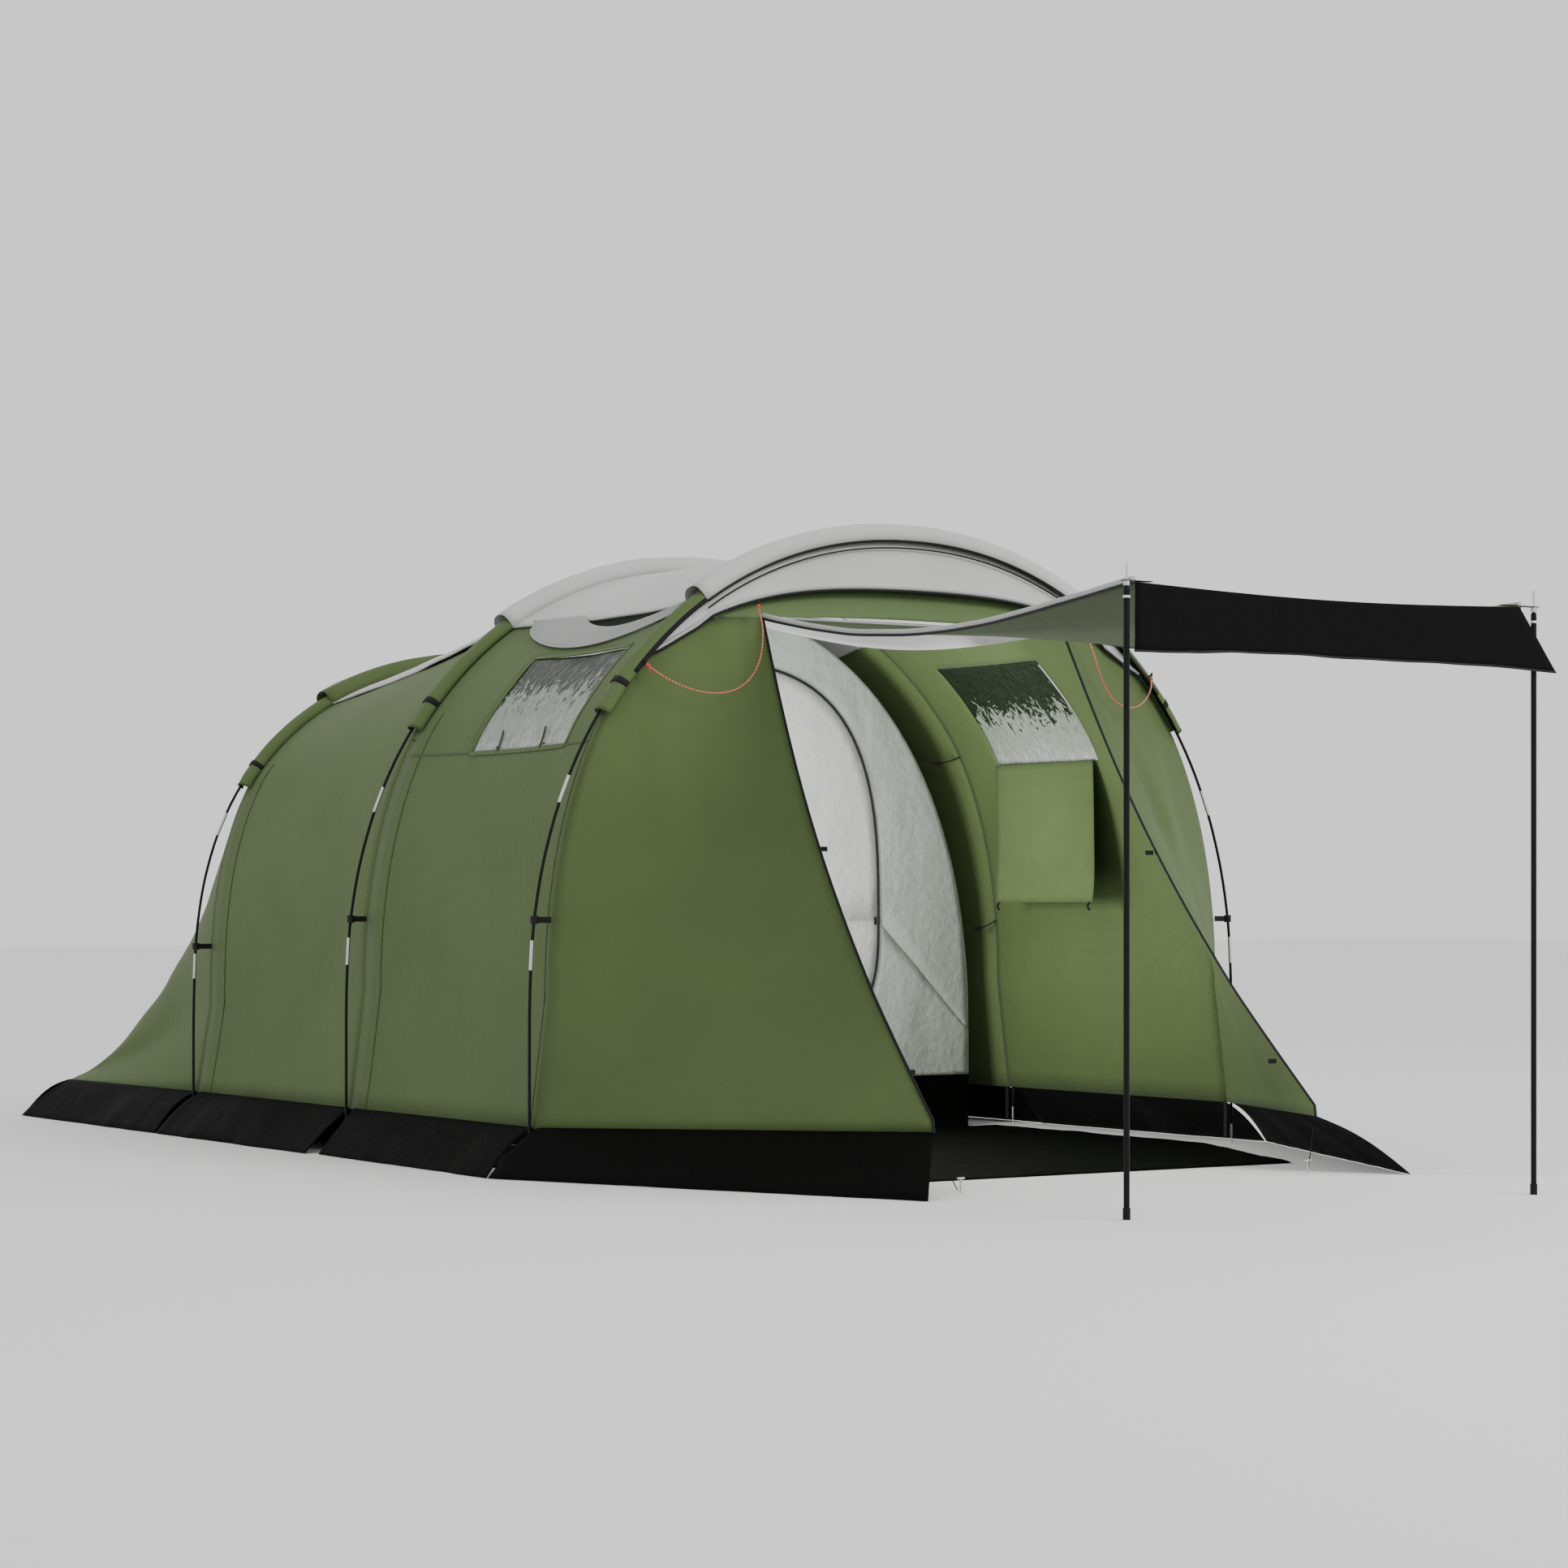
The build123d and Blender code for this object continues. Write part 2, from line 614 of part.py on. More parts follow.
FOOT_Z = 30.0
FOOT_SOLE = 3.0
FOOT_WALL = 2.0
COLLAR_Z = 1588.0
COLLAR_WALL = 1.5
COLLAR_HEIGHT = 6.0
for name, x in PROP_X.items():
    with BuildPart() as prop:
        with BuildSketch(Plane.XY.offset(FOOT_SOLE)):
            with Locations((x, PROP_Y)):
                Circle(PROP_R)
        extrude(amount=PROP_TOP_Z - FOOT_SOLE)
        with Locations((x, PROP_Y, PROP_TOP_Z)):
            Sphere(PROP_R)
    save(prop, f"{name}_prop")
    with BuildPart() as foot:
        with BuildSketch():
            with Locations((x, PROP_Y)):
                Circle(PROP_R + FOOT_WALL)
        extrude(amount=FOOT_Z)
        add(prop.part, mode=Mode.SUBTRACT)
    save(foot, f"{name}_prop_foot")
    with BuildPart() as collar:
        with Locations((x, PROP_Y, COLLAR_Z)):
            Cylinder(PROP_R + COLLAR_WALL, COLLAR_HEIGHT)
            Cylinder(PROP_R, COLLAR_HEIGHT, mode=Mode.SUBTRACT)
    save(collar, f"{name}_prop_collar")

# Bedroom: hanging inner tent on a bathtub tray, with a door in its front wall
def inner_curve(section, skin):
    """Outline of the bedroom at a section, from the right foot over the top."""
    y, spring, rise, power = section
    half = INNER_HALF - skin
    angles = [180 * i / INNER_STEPS for i in range(INNER_STEPS + 1)]
    curve = [curve_point(half, spring, rise - skin, power, angle) for angle in angles]
    return [(half, TRAY_Z)] + curve + [(-half, TRAY_Z)]


with BuildPart() as bedroom:
    sections = [(s[0], inner_curve(s, 0.0) + inner_curve(s, FABRIC)[::-1]) for s in INNER_SECTIONS]
    add(lofted(sections))
save(bedroom, "bedroom_shell")


def door_outline(margin):
    """Closed outline of the bedroom door, drawn in by a margin."""
    half, middle, rise, fall = INNER_DOOR
    points = []
    for i in range(DOOR_STEPS):
        angle = 360 * (i + 0.5) / DOOR_STEPS
        height = rise if angle < 180 else fall
        x, z = curve_point(half - margin, 0, height - margin, INNER_DOOR_POWER, angle)
        points.append((x, middle + math.copysign(z, 180 - angle)))
    return points


inner_y = INNER_SECTIONS[0][0]
with BuildPart() as inner_front:
    with BuildSketch(Plane.XZ.offset(-inner_y)):
        with BuildLine():
            Polyline(*inner_curve(INNER_SECTIONS[0], 0.0), close=True)
        make_face()
        with BuildLine():
            Polyline(*door_outline(0.0), close=True)
        make_face(mode=Mode.SUBTRACT)
    extrude(amount=FABRIC)
save(inner_front, "bedroom_front")
with BuildPart() as inner_door:
    with BuildSketch(Plane.XZ.offset(-inner_y)):
        with BuildLine():
            Polyline(*door_outline(DOOR_GAP), close=True)
        make_face()
    extrude(amount=FABRIC)
save(inner_door, "bedroom_door")
SLIDER = (10.0, 5.0, 26.0)
SLIDER_IN = 16.0
with BuildPart() as zip_slider:
    with Locations((INNER_DOOR[0] - SLIDER_IN, inner_y - FABRIC - SLIDER[1] / 2 - GAP / 2, INNER_DOOR[1])):
        Box(*SLIDER)
save(zip_slider, "bedroom_zip_slider")

tray_length = INNER_SECTIONS[2][0] - inner_y
with BuildPart() as tray:
    with BuildSketch():
        with Locations((0, inner_y + tray_length / 2)):
            Rectangle(2 * INNER_HALF, tray_length)
    extrude(amount=TRAY_Z)
    offset(amount=-TRAY_WALL, openings=tray.faces().sort_by(Axis.Z)[-1])
save(tray, "bedroom_tray")

with BuildPart() as mat:
    with BuildSketch():
        with BuildLine():
            Polyline(
                (-MAT_FRONT_HALF, MAT_Y[0]),
                (MAT_FRONT_HALF, MAT_Y[0]),
                (MAT_HALF, MAT_Y[1]),
                (MAT_HALF, MAT_Y[2]),
                (-MAT_HALF, MAT_Y[2]),
                (-MAT_HALF, MAT_Y[1]),
                close=True,
            )
        make_face()
    extrude(amount=FABRIC)
save(mat, "porch_groundsheet")

# Corner pegs and their shock cords
PEG = (640.0, -2012.0)
PEG_R = 2.5
PEG_HEIGHT = 42.0
HOOK_R = 3.0
HOOK = 24.0
SHOCK_R = 1.5
SHOCK_LOW = (6.0, 6.0, 8.0)
SHOCK_HIGH = (-8.0, 2.0, -6.0)
with BuildPart() as pegs:
    for side in (1, -1):
        x = side * PEG[0]
        with BuildSketch():
            with Locations((x, PEG[1])):
                Circle(PEG_R)
        extrude(amount=PEG_HEIGHT)
        with BuildSketch(Plane.YZ.offset(x - HOOK / 2)):
            with Locations((PEG[1], PEG_HEIGHT)):
                Circle(HOOK_R)
        extrude(amount=HOOK)
save(pegs, "corner_pegs")
with BuildPart() as shock_cords:
    for side in (1, -1):
        low = Vector(side * (PEG[0] + SHOCK_LOW[0]), PEG[1] + SHOCK_LOW[1], SHOCK_LOW[2])
        x, y, z = (value + step for value, step in zip((DOOR_FOOT[0], DOOR_FOOT[1], BASE_Z), SHOCK_HIGH))
        high = Vector(side * x, y, z)
        with BuildSketch(Plane(origin=low, z_dir=high - low)):
            Circle(SHOCK_R)
        extrude(amount=(high - low).length)
save(shock_cords, "corner_shock_cords")

# Guy lines looped between the front sleeve and the door head
GUY_ROUTES = {
    "left": (
        (-612, -925, 1722),
        (-622, -950, 1690),
        (-627, -975, 1650),
        (-636, -988, 1605),
        (-650, -1000, 1556),
        (-675, -1006, 1508),
        (-712, -1004, 1468),
        (-760, -996, 1445),
        (-812, -982, 1440),
        (-864, -962, 1449),
        (-912, -934, 1470),
        (-952, -900, 1500),
        (-976, -866, 1530),
    ),
    "right": (
        (615, -925, 1716),
        (634, -948, 1680),
        (644, -970, 1635),
        (650, -984, 1588),
        (660, -995, 1538),
        (684, -1002, 1490),
        (724, -1000, 1458),
        (776, -990, 1446),
        (828, -974, 1452),
        (876, -952, 1474),
        (920, -922, 1502),
        (956, -888, 1530),
        (975, -862, 1562),
    ),
}
GUY_TAB = (16.0, 4.0, 14.0)
tab_spots = []
for name, route in GUY_ROUTES.items():
    radii = tangent_radii(route)
    print(name, "guy line radii", [round(radius) for radius in radii])
    with BuildPart() as guy_line:
        with BuildLine() as guy_path:
            FilletPolyline(*route, radius=radii)
        with BuildSketch(across(guy_path.wire(), 0)):
            Circle(CORD_D / 2)
        sweep(path=guy_path.wire())
    length = guy_path.wire().length
    print(name, "guy line length", round(length, 1))
    print("  volume", round(guy_line.part.volume), "of", round(math.pi * (CORD_D / 2) ** 2 * length))
    save(guy_line, f"{name}_guy_line")
    for end, inner in ((route[0], route[1]), (route[-1], route[-2])):
        away = (Vector(*end) - Vector(*inner)).normalized()
        tab_spots.append(Plane(origin=Vector(*end) + away * GUY_TAB[2] / 2, z_dir=away).location)
with BuildPart() as guy_tabs:
    with Locations(*tab_spots):
        Box(*GUY_TAB)
save(guy_tabs, "guy_tabs")
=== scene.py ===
"""Tunnel tent with a propped door awning: fabric, seams, cords and finishes around the CAD frame.

Metres, in the CAD's own frame: +X right seen from the door, +Y to the rear, +Z up.
"""
import math

import bmesh
import bpy
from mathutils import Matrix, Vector, noise


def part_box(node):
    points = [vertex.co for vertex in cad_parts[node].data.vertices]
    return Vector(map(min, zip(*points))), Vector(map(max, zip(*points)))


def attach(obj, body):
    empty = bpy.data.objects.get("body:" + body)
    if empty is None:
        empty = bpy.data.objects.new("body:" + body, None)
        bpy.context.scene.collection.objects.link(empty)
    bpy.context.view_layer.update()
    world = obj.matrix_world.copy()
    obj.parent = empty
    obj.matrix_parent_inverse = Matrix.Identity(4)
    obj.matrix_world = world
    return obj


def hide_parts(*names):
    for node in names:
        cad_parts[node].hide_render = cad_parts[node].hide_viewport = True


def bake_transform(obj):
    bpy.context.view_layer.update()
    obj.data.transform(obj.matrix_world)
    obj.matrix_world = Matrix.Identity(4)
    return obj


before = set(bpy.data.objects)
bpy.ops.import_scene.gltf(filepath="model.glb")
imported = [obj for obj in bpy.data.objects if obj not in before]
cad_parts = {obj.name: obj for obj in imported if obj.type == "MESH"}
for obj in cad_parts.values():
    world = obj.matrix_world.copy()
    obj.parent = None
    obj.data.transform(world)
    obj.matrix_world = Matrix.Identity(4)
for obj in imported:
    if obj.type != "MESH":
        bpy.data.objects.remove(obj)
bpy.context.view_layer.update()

# ---------------------------------------------------------------- dimensions
HALF_WIDTH = 1.353
# y, spring height, rise and roundness of each arch
ARCHES = {
    "front": (-0.825, 0.530, 1.445, 2.1),
    "middle": (0.405, 0.530, 1.445, 2.1),
    "rear": (1.635, 0.450, 1.270, 2.5),
}
Y_FRONT, Y_MIDDLE, Y_REAR = (ARCHES[arch][0] for arch in ("front", "middle", "rear"))
BASE_Z = 0.140
BASE_INSET = 0.020
BELLY_INSET = 0.070
SLEEVE_INSET = 0.024
SLEEVE_ANGLE = 35.5
ROOF_ANGLE = 58.0
FOOT_ANGLE = -16.0           # profile angle that stands for the fly's lower edge
SLEEVE_START = {"front": 35.5, "middle": 35.5, "rear": 33.5}
DOOR_FOOT = (0.705, -1.975, 0.170)
DOOR_TOP = (0.580, -0.900, 1.685)
DOOR_BOW = 0.105
HEADER_ANGLE = 54.0
REAR_BASE_Y = 2.745
REAR_HALF = 1.380
CLOTH = 0.0016
WINDOWS = {"right": ((-0.405, 0.175), (1.315, 1.650)), "left": ((-0.635, -0.035), (1.300, 1.605))}


def add_object(name, data):
    """Object with its data, linked to the scene."""
    item = bpy.data.objects.new(name, data)
    bpy.context.scene.collection.objects.link(item)
    return item


# ---------------------------------------------------------------- camera
camera_data = bpy.data.cameras.new("camera")
camera_data.lens = 80.0
camera_data.sensor_width = 36.0
camera_data.shift_y = 0.0802
camera = add_object("camera", camera_data)
camera.location = (-6.353, -9.875, 0.790)
camera.rotation_euler = (math.radians(90), 0, math.radians(-33.1))
bpy.context.scene.camera = camera


# ---------------------------------------------------------------- materials
def new_material(name):
    """Material with a Principled shader; returns it with its node tree and shader."""
    material = bpy.data.materials.new(name)
    material.use_nodes = True
    tree = material.node_tree
    return material, tree, tree.nodes["Principled BSDF"]


def settings(node, values):
    """Sets a node's inputs by name."""
    for name, value in values.items():
        node.inputs[name].default_value = value


def object_coordinates(tree, scale):
    """Coordinates in metres times a scale along each axis."""
    where = tree.nodes.new("ShaderNodeTexCoord")
    mapping = tree.nodes.new("ShaderNodeMapping")
    settings(mapping, {"Scale": scale})
    tree.links.new(where.outputs["Object"], mapping.inputs["Vector"])
    return mapping.outputs["Vector"]


def noise_node(tree, vector, scale, detail=3.0, distortion=0.0):
    """Noise texture on a vector."""
    node = tree.nodes.new("ShaderNodeTexNoise")
    settings(node, {"Scale": scale, "Detail": detail, "Distortion": distortion})
    tree.links.new(vector, node.inputs["Vector"])
    return node.outputs["Fac"]


def ramp_node(tree, fac, stops):
    """Colour ramp with (position, colour) stops."""
    ramp = tree.nodes.new("ShaderNodeValToRGB")
    while len(ramp.color_ramp.elements) < len(stops):
        ramp.color_ramp.elements.new(0.5)
    for element, (position, colour) in zip(ramp.color_ramp.elements, stops):
        element.position = position
        element.color = (*colour, 1.0)
    tree.links.new(fac, ramp.inputs["Fac"])
    return ramp.outputs["Color"]


def math_node(tree, operation, *values):
    """Math node on values that are either sockets or numbers."""
    node = tree.nodes.new("ShaderNodeMath")
    node.operation = operation
    for slot, value in zip(node.inputs, values):
        if isinstance(value, (int, float)):
            slot.default_value = value
        else:
            tree.links.new(value, slot)
    return node.outputs["Value"]


def bump_chain(tree, shader, layers):
    """Bump layers (height socket, distance), one on the other."""
    normal = None
    for height, distance in layers:
        bump = tree.nodes.new("ShaderNodeBump")
        settings(bump, {"Distance": distance, "Strength": 1.0})
        tree.links.new(height, bump.inputs["Height"])
        if normal is not None:
            tree.links.new(normal, bump.inputs["Normal"])
        normal = bump.outputs["Normal"]
    tree.links.new(normal, shader.inputs["Normal"])


def weave(tree, pitch):
    """Height of a plain weave with a thread pitch in metres."""
    vector = object_coordinates(tree, (1, 1, 1))
    threads = []
    for direction in ("X", "Z"):
        wave = tree.nodes.new("ShaderNodeTexWave")
        wave.bands_direction = direction
        settings(wave, {"Scale": 0.314 / pitch, "Distortion": 0.4})
        tree.links.new(vector, wave.inputs["Vector"])
        threads.append(wave.outputs["Fac"])
    return math_node(tree, "MULTIPLY", *threads)


def shade(colour, factor):
    """A colour made lighter or darker."""
    return tuple(min(1.0, channel * factor) for channel in colour)


def fabric(name, colour, roughness=0.66, pitch=0.0024, weave_depth=0.0003, crinkle=0.0014, sheen=0.05):
    """Coated woven cloth: slight colour drift, weave and soft crinkles."""
    material, tree, shader = new_material(name)
    vector = object_coordinates(tree, (1, 1, 1))
    drift = noise_node(tree, vector, 2.4, 5.0)
    stops = [(0.3, shade(colour, 0.93)), (0.7, shade(colour, 1.06))]
    tree.links.new(ramp_node(tree, drift, stops), shader.inputs["Base Color"])
    folds = noise_node(tree, object_coordinates(tree, (1.0, 1.0, 0.55)), 5.5, 4.0, 0.8)
    creases = noise_node(tree, vector, 34.0, 2.0)
    bump_chain(tree, shader, [(folds, crinkle * 2.5), (creases, crinkle), (weave(tree, pitch), weave_depth)])
    settings(shader, {
        "Roughness": roughness, "Specular IOR Level": 0.16 if sheen else 0.06, "Sheen Weight": sheen,
    })
    return material


def plain(name, colour, roughness, metallic=0.0, grain=60.0, depth=0.0002):
    """Moulded, painted or metal finish with fine grain and uneven gloss."""
    material, tree, shader = new_material(name)
    vector = object_coordinates(tree, (1, 1, 1))
    speckle = noise_node(tree, vector, grain, 4.0)
    stops = [(0.35, shade(colour, 0.85)), (0.7, shade(colour, 1.12))]
    tree.links.new(ramp_node(tree, speckle, stops), shader.inputs["Base Color"])
    bump_chain(tree, shader, [(noise_node(tree, vector, grain * 6, 3.0), depth)])
    settings(shader, {
        "Roughness": roughness, "Metallic": metallic,
        "Specular IOR Level": 0.15 if max(colour) < 0.02 else 0.5,
    })
    return material


def window_film(name):
    """Clear crinkled film with painted dark ragged reflections near its top and painted milky light below."""
    material, tree, shader = new_material(name)
    where = tree.nodes.new("ShaderNodeTexCoord")
    split = tree.nodes.new("ShaderNodeSeparateXYZ")
    tree.links.new(where.outputs["Object"], split.inputs["Vector"])
    ragged = noise_node(tree, object_coordinates(tree, (1.0, 1.6, 0.8)), 26.0, 9.0, 1.4)
    height = tree.nodes.new("ShaderNodeMapRange")
    settings(height, {"From Min": 1.30, "From Max": 1.62})
    tree.links.new(split.outputs["Z"], height.inputs["Value"])
    total = math_node(tree, "MULTIPLY_ADD", ragged, 1.25, height.outputs["Result"])
    scaled = math_node(tree, "MULTIPLY", total, 0.84)
    stops = [(0.30, (0.52, 0.54, 0.52)), (0.62, (0.30, 0.33, 0.29)), (0.98, (0.24, 0.28, 0.22))]
    stops += [(1.0, (0.008, 0.018, 0.005))]
    tree.links.new(ramp_node(tree, scaled, stops), shader.inputs["Base Color"])
    creases = noise_node(tree, object_coordinates(tree, (1.0, 1.0, 0.35)), 30.0, 6.0, 1.0)
    bump_chain(tree, shader, [(creases, 0.012)])
    settings(shader, {"Roughness": 0.24, "Specular IOR Level": 0.3, "Alpha": 0.92})
    return material


GREEN = (0.082, 0.121, 0.041)
GREY = (0.52, 0.52, 0.515)
MATERIALS = {
    "green": fabric("green_fly_cloth", GREEN),
    # Painted light: the header uses the fly's green made lighter, standing in for light that reaches it.
    "header": fabric("green_header_painted_light", (0.118, 0.176, 0.069)),
    # Painted shade: the awning's green is darkened to stand in for the shade on its underside.
    "canopy": fabric("green_awning_painted_shade", shade(GREEN, 0.52)),
    "grey": fabric("grey_roof_cloth", GREY, 0.55),
    "seam": fabric("green_seam_tape", shade(GREEN, 0.55), 0.5, crinkle=0.0005),
    "grey_trim": fabric("grey_trim_tape", (0.40, 0.41, 0.40), 0.6, crinkle=0.0005),
    "black": fabric("black_piping", (0.008, 0.009, 0.008), 0.55, crinkle=0.0004),
    "skirt": fabric("black_skirt_cloth", (0.0022, 0.0022, 0.0022), 0.7, 0.004, 0.0009, 0.003, 0.0),
    "valance": fabric("black_woven_band", (0.004, 0.004, 0.004), 0.7, 0.006, 0.0018, 0.002, 0.0),
    "mat": fabric("black_groundsheet", (0.0012, 0.0012, 0.0010), 0.8, 0.004, 0.0008, 0.003, 0.0),
    "bedroom": fabric("grey_green_bedroom_cloth", (0.34, 0.365, 0.33), 0.6, crinkle=0.005),
    "bedroom_door": fabric("white_bedroom_door_cloth", (0.52, 0.52, 0.51), 0.6, crinkle=0.004),
    # Painted shade: the roof's grey made darker to stand in for the shade on the vent scoops and the door
    # head lining.
    "scoop": fabric("grey_scoop_painted_shade", shade(GREY, 0.62), 0.55),
    "mesh": fabric("dark_green_vent_mesh", (0.007, 0.014, 0.004), 0.7, 0.004, 0.002, 0.001, 0.0),
    "webbing": fabric("black_webbing", (0.010, 0.010, 0.010), 0.7, 0.003, 0.0012, 0.0004),
    "film": window_film("clear_window_film"),
    "pole": plain("black_fibreglass", (0.005, 0.005, 0.005), 0.4),
    "steel": plain("brushed_steel", (0.62, 0.62, 0.63), 0.32, 1.0, 140.0),
    "prop": plain("satin_black_paint", (0.004, 0.004, 0.004), 0.45),
    "plastic": plain("black_moulded_plastic", (0.012, 0.012, 0.012), 0.5),
    "white": plain("white_moulded_plastic", (0.72, 0.72, 0.70), 0.45),
    "rubber": plain("black_rubber", (0.010, 0.010, 0.010), 0.75),
    "cord": plain("orange_cord_yarn", (0.56, 0.080, 0.026), 0.75),
    "cord_white": plain("white_cord_yarn", (0.72, 0.68, 0.62), 0.7),
}

FINISHES = {
    "pole": ("front_pole", "middle_pole", "rear_pole"),
    "steel": ("pole_ferrules", "pole_pins", "prop_spikes", "awning_eyelets", "corner_pegs"),
    "webbing": ("pole_tabs", "strap_webbing", "awning_webbing", "door_tie_tabs", "guy_tabs"),
    "plastic": ("strap_clips", "curtain_toggles", "bedroom_zip_slider"),
    "prop": ("left_prop", "right_prop"),
    "rubber": ("left_prop_foot", "right_prop_foot", "corner_shock_cords"),
    "white": ("left_prop_collar", "right_prop_collar"),
    "mat": ("bedroom_tray",),
}
for finish, nodes in FINISHES.items():
    for node in nodes:
        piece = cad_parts[node]
        if not piece.material_slots:
            piece.data.materials.append(None)
        for material_slot in piece.material_slots:
            material_slot.link = "OBJECT"
            material_slot.material = MATERIALS[finish]


# ---------------------------------------------------------------- mesh helpers
def mix(start, end, share):
    """Value a share of the way from start to end."""
    return start + (end - start) * share


def clamp(value):
    """Value kept between 0 and 1."""
    return min(1.0, max(0.0, value))


def spread(start, end, count):
    """Evenly spaced values from start to end."""
    return [start + (end - start) * i / count for i in range(count + 1)]


def link(name, mesh, finish):
    """Object from a mesh, smooth shaded, with a finish."""
    piece = add_object(name, mesh)
    mesh.materials.append(MATERIALS[finish])
    for polygon in mesh.polygons:
        polygon.use_smooth = True
    return piece


def grid(name, surface, us, vs, finish, hole=None, thickness=CLOTH):
    """Cloth over a surface (u, v) -> point; cells whose middle is in the hole are left out."""
    points = [surface(u, v) for u in us for v in vs]
    columns = len(vs)
    faces = []
    for i in range(len(us) - 1):
        for j in range(columns - 1):
            middle = ((us[i] + us[i + 1]) / 2, (vs[j] + vs[j + 1]) / 2)
            if hole is None or not hole(*middle):
                first = i * columns + j
                faces.append((first, first + 1, first + columns + 1, first + columns))
    mesh = bpy.data.meshes.new(name)
    mesh.from_pydata([tuple(p) for p in points], [], faces)
    work = bmesh.new()
    work.from_mesh(mesh)
    bmesh.ops.delete(work, geom=[v for v in work.verts if not v.link_faces], context="VERTS")
    bmesh.ops.recalc_face_normals(work, faces=work.faces)
    work.to_mesh(mesh)
    work.free()
    piece = link(name, mesh, finish)
    solid = piece.modifiers.new("cloth_thickness", "SOLIDIFY")
    solid.thickness = thickness
    solid.offset = 0.0
    return piece


def tube(name, points, radius, finish, cyclic=False, kind="POLY"):
    """Round cord or piping through points."""
    curve = bpy.data.curves.new(name, "CURVE")
    curve.dimensions = "3D"
    curve.bevel_depth = radius
    curve.bevel_resolution = 3
    curve.use_fill_caps = True
    spline = curve.splines.new(kind)
    spline.points.add(len(points) - 1)
    for spot, point in zip(spline.points, points):
        spot.co = (*point, 1.0)
    spline.use_cyclic_u = cyclic
    curve.materials.append(MATERIALS[finish])
    return add_object(name, curve)


def path_length(points):
    """Length of a line through points."""
    return sum((Vector(b) - Vector(a)).length for a, b in zip(points, points[1:]))


def as_mesh(piece, finish):
    """The same tube as a mesh."""
    name = piece.name
    mesh = bpy.data.meshes.new_from_object(piece)
    mesh.materials.clear()
    bpy.data.objects.remove(piece)
    return link(name, mesh, finish)


def flat_size(surface, us, vs):
    """Greatest width and length of a surface along its grid lines."""
    width = max(path_length([surface(u, v) for v in vs]) for u in us)
    length = max(path_length([surface(u, v) for u in us]) for v in vs)
    return width, length


def upright_size(piece):
    """Width and height of a panel that is cut flat and hangs upright across the tent."""
    xs = [vertex.co.x for vertex in piece.data.vertices]
    zs = [vertex.co.z for vertex in piece.data.vertices]
    return max(xs) - min(xs), max(zs) - min(zs)


def cloth(
    piece, surface, us, vs, body="tent", replaces=(),
    upright=False,
):
    flat = upright_size(piece) if upright else flat_size(surface, us, vs)
    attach(piece, body)
    if replaces:
        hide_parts(*replaces)
    return piece


def trim(piece, body="tent"):
    """Rides a small sewn piece on a body."""
    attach(piece, body)
    return piece


def ripple(point, amplitude, scale=(1.3, 1.3, 0.9), seed=0.0):
    """Soft uneven height for cloth at a point, the same each run."""
    spot = Vector((point[0] * scale[0] + seed, point[1] * scale[1], point[2] * scale[2]))
    return amplitude * (noise.noise(spot * 1.7) + 0.5 * noise.noise(spot * 4.1))


# ---------------------------------------------------------------- arch profile
def curve_point(half, spring, rise, power, angle):
    """Point (x, z) of a rounded arch, 0 on the right and 180 on the left."""
    a = math.radians(angle)
    x = half * math.copysign(abs(math.cos(a)) ** (2 / power), math.cos(a))
    return x, spring + rise * abs(math.sin(a)) ** (2 / power)


def fly_inset(angle):
    """How far the fly lies inside the pole line."""
    near = min(angle, 180 - angle)
    if near >= SLEEVE_ANGLE:
        return SLEEVE_INSET
    return mix(SLEEVE_INSET, BELLY_INSET, math.cos(math.radians(90 * near / SLEEVE_ANGLE)))


def fly_profile(arch, angle):
    """Fly (x, z) at an arch; below 0 and past 180 degrees it runs down to its lower edge."""
    if angle > 90:
        x, z = fly_profile(arch, 180 - angle)
        return -x, z
    spring, rise, power = ARCHES[arch][1:]
    if angle >= 0:
        return curve_point(HALF_WIDTH - fly_inset(angle), spring, rise - SLEEVE_INSET, power, angle)
    share = angle / FOOT_ANGLE
    knee = HALF_WIDTH - BELLY_INSET
    return mix(knee, HALF_WIDTH - BASE_INSET, share), mix(spring, BASE_Z, share)


def bay_point(start, end, angle, y, lift=0.0, sag=0.016, wrinkle=0.003):
    """Point of the fly between two arches, drawn in a little between them."""
    y_start, y_end = ARCHES[start][0], ARCHES[end][0]
    share = (y - y_start) / (y_end - y_start)
    x_start, z_start = fly_profile(start, angle)
    x_end, z_end = fly_profile(end, angle)
    x, z = mix(x_start, x_end, share), mix(z_start, z_end, share)
    belly = 4 * share * (1 - share)
    spring = ARCHES[start][1]
    out = Vector((x, 0, max(0.0, z - spring) * 0.9)).normalized()
    firm = clamp((z - BASE_Z) / 0.15)
    depth = lift - belly * firm * (sag + ripple((x, y, z), wrinkle, seed=3.0))
    return x + out.x * depth, y, z + out.z * depth


def angle_at(height, arch="front"):
    """Profile angle at which the fly reaches a height at an arch."""
    low, high = FOOT_ANGLE, 90.0
    for _ in range(40):
        middle = (low + high) / 2
        if fly_profile(arch, middle)[1] < height:
            low = middle
        else:
            high = middle
    return low


def bay_surface(start, end, mirror=False, **options):
    """Surface (angle, y) of a bay on the right, or mirrored on the left."""
    def surface(angle, y):
        x, y_out, z = bay_point(start, end, angle, y, **options)
        return (-x if mirror else x), y_out, z
    return surface


def profile_normal(arch, angle):
    """Outward direction (x, z) across the fly's profile."""
    x_low, z_low = fly_profile(arch, angle - 0.5)
    x_high, z_high = fly_profile(arch, angle + 0.5)
    out = Vector((z_high - z_low, x_low - x_high)).normalized()
    return (out.x, out.y) if out.x * x_low + out.y >= 0 else (-out.x, -out.y)


# ---------------------------------------------------------------- fly: walls, windows, roof
SEAM_LIFT = 0.0016
WINDOW_BORDER = 0.012
TAPE_FAR, TAPE_NEAR = 0.105, 0.097      # edges of the seam tape in front of an arch


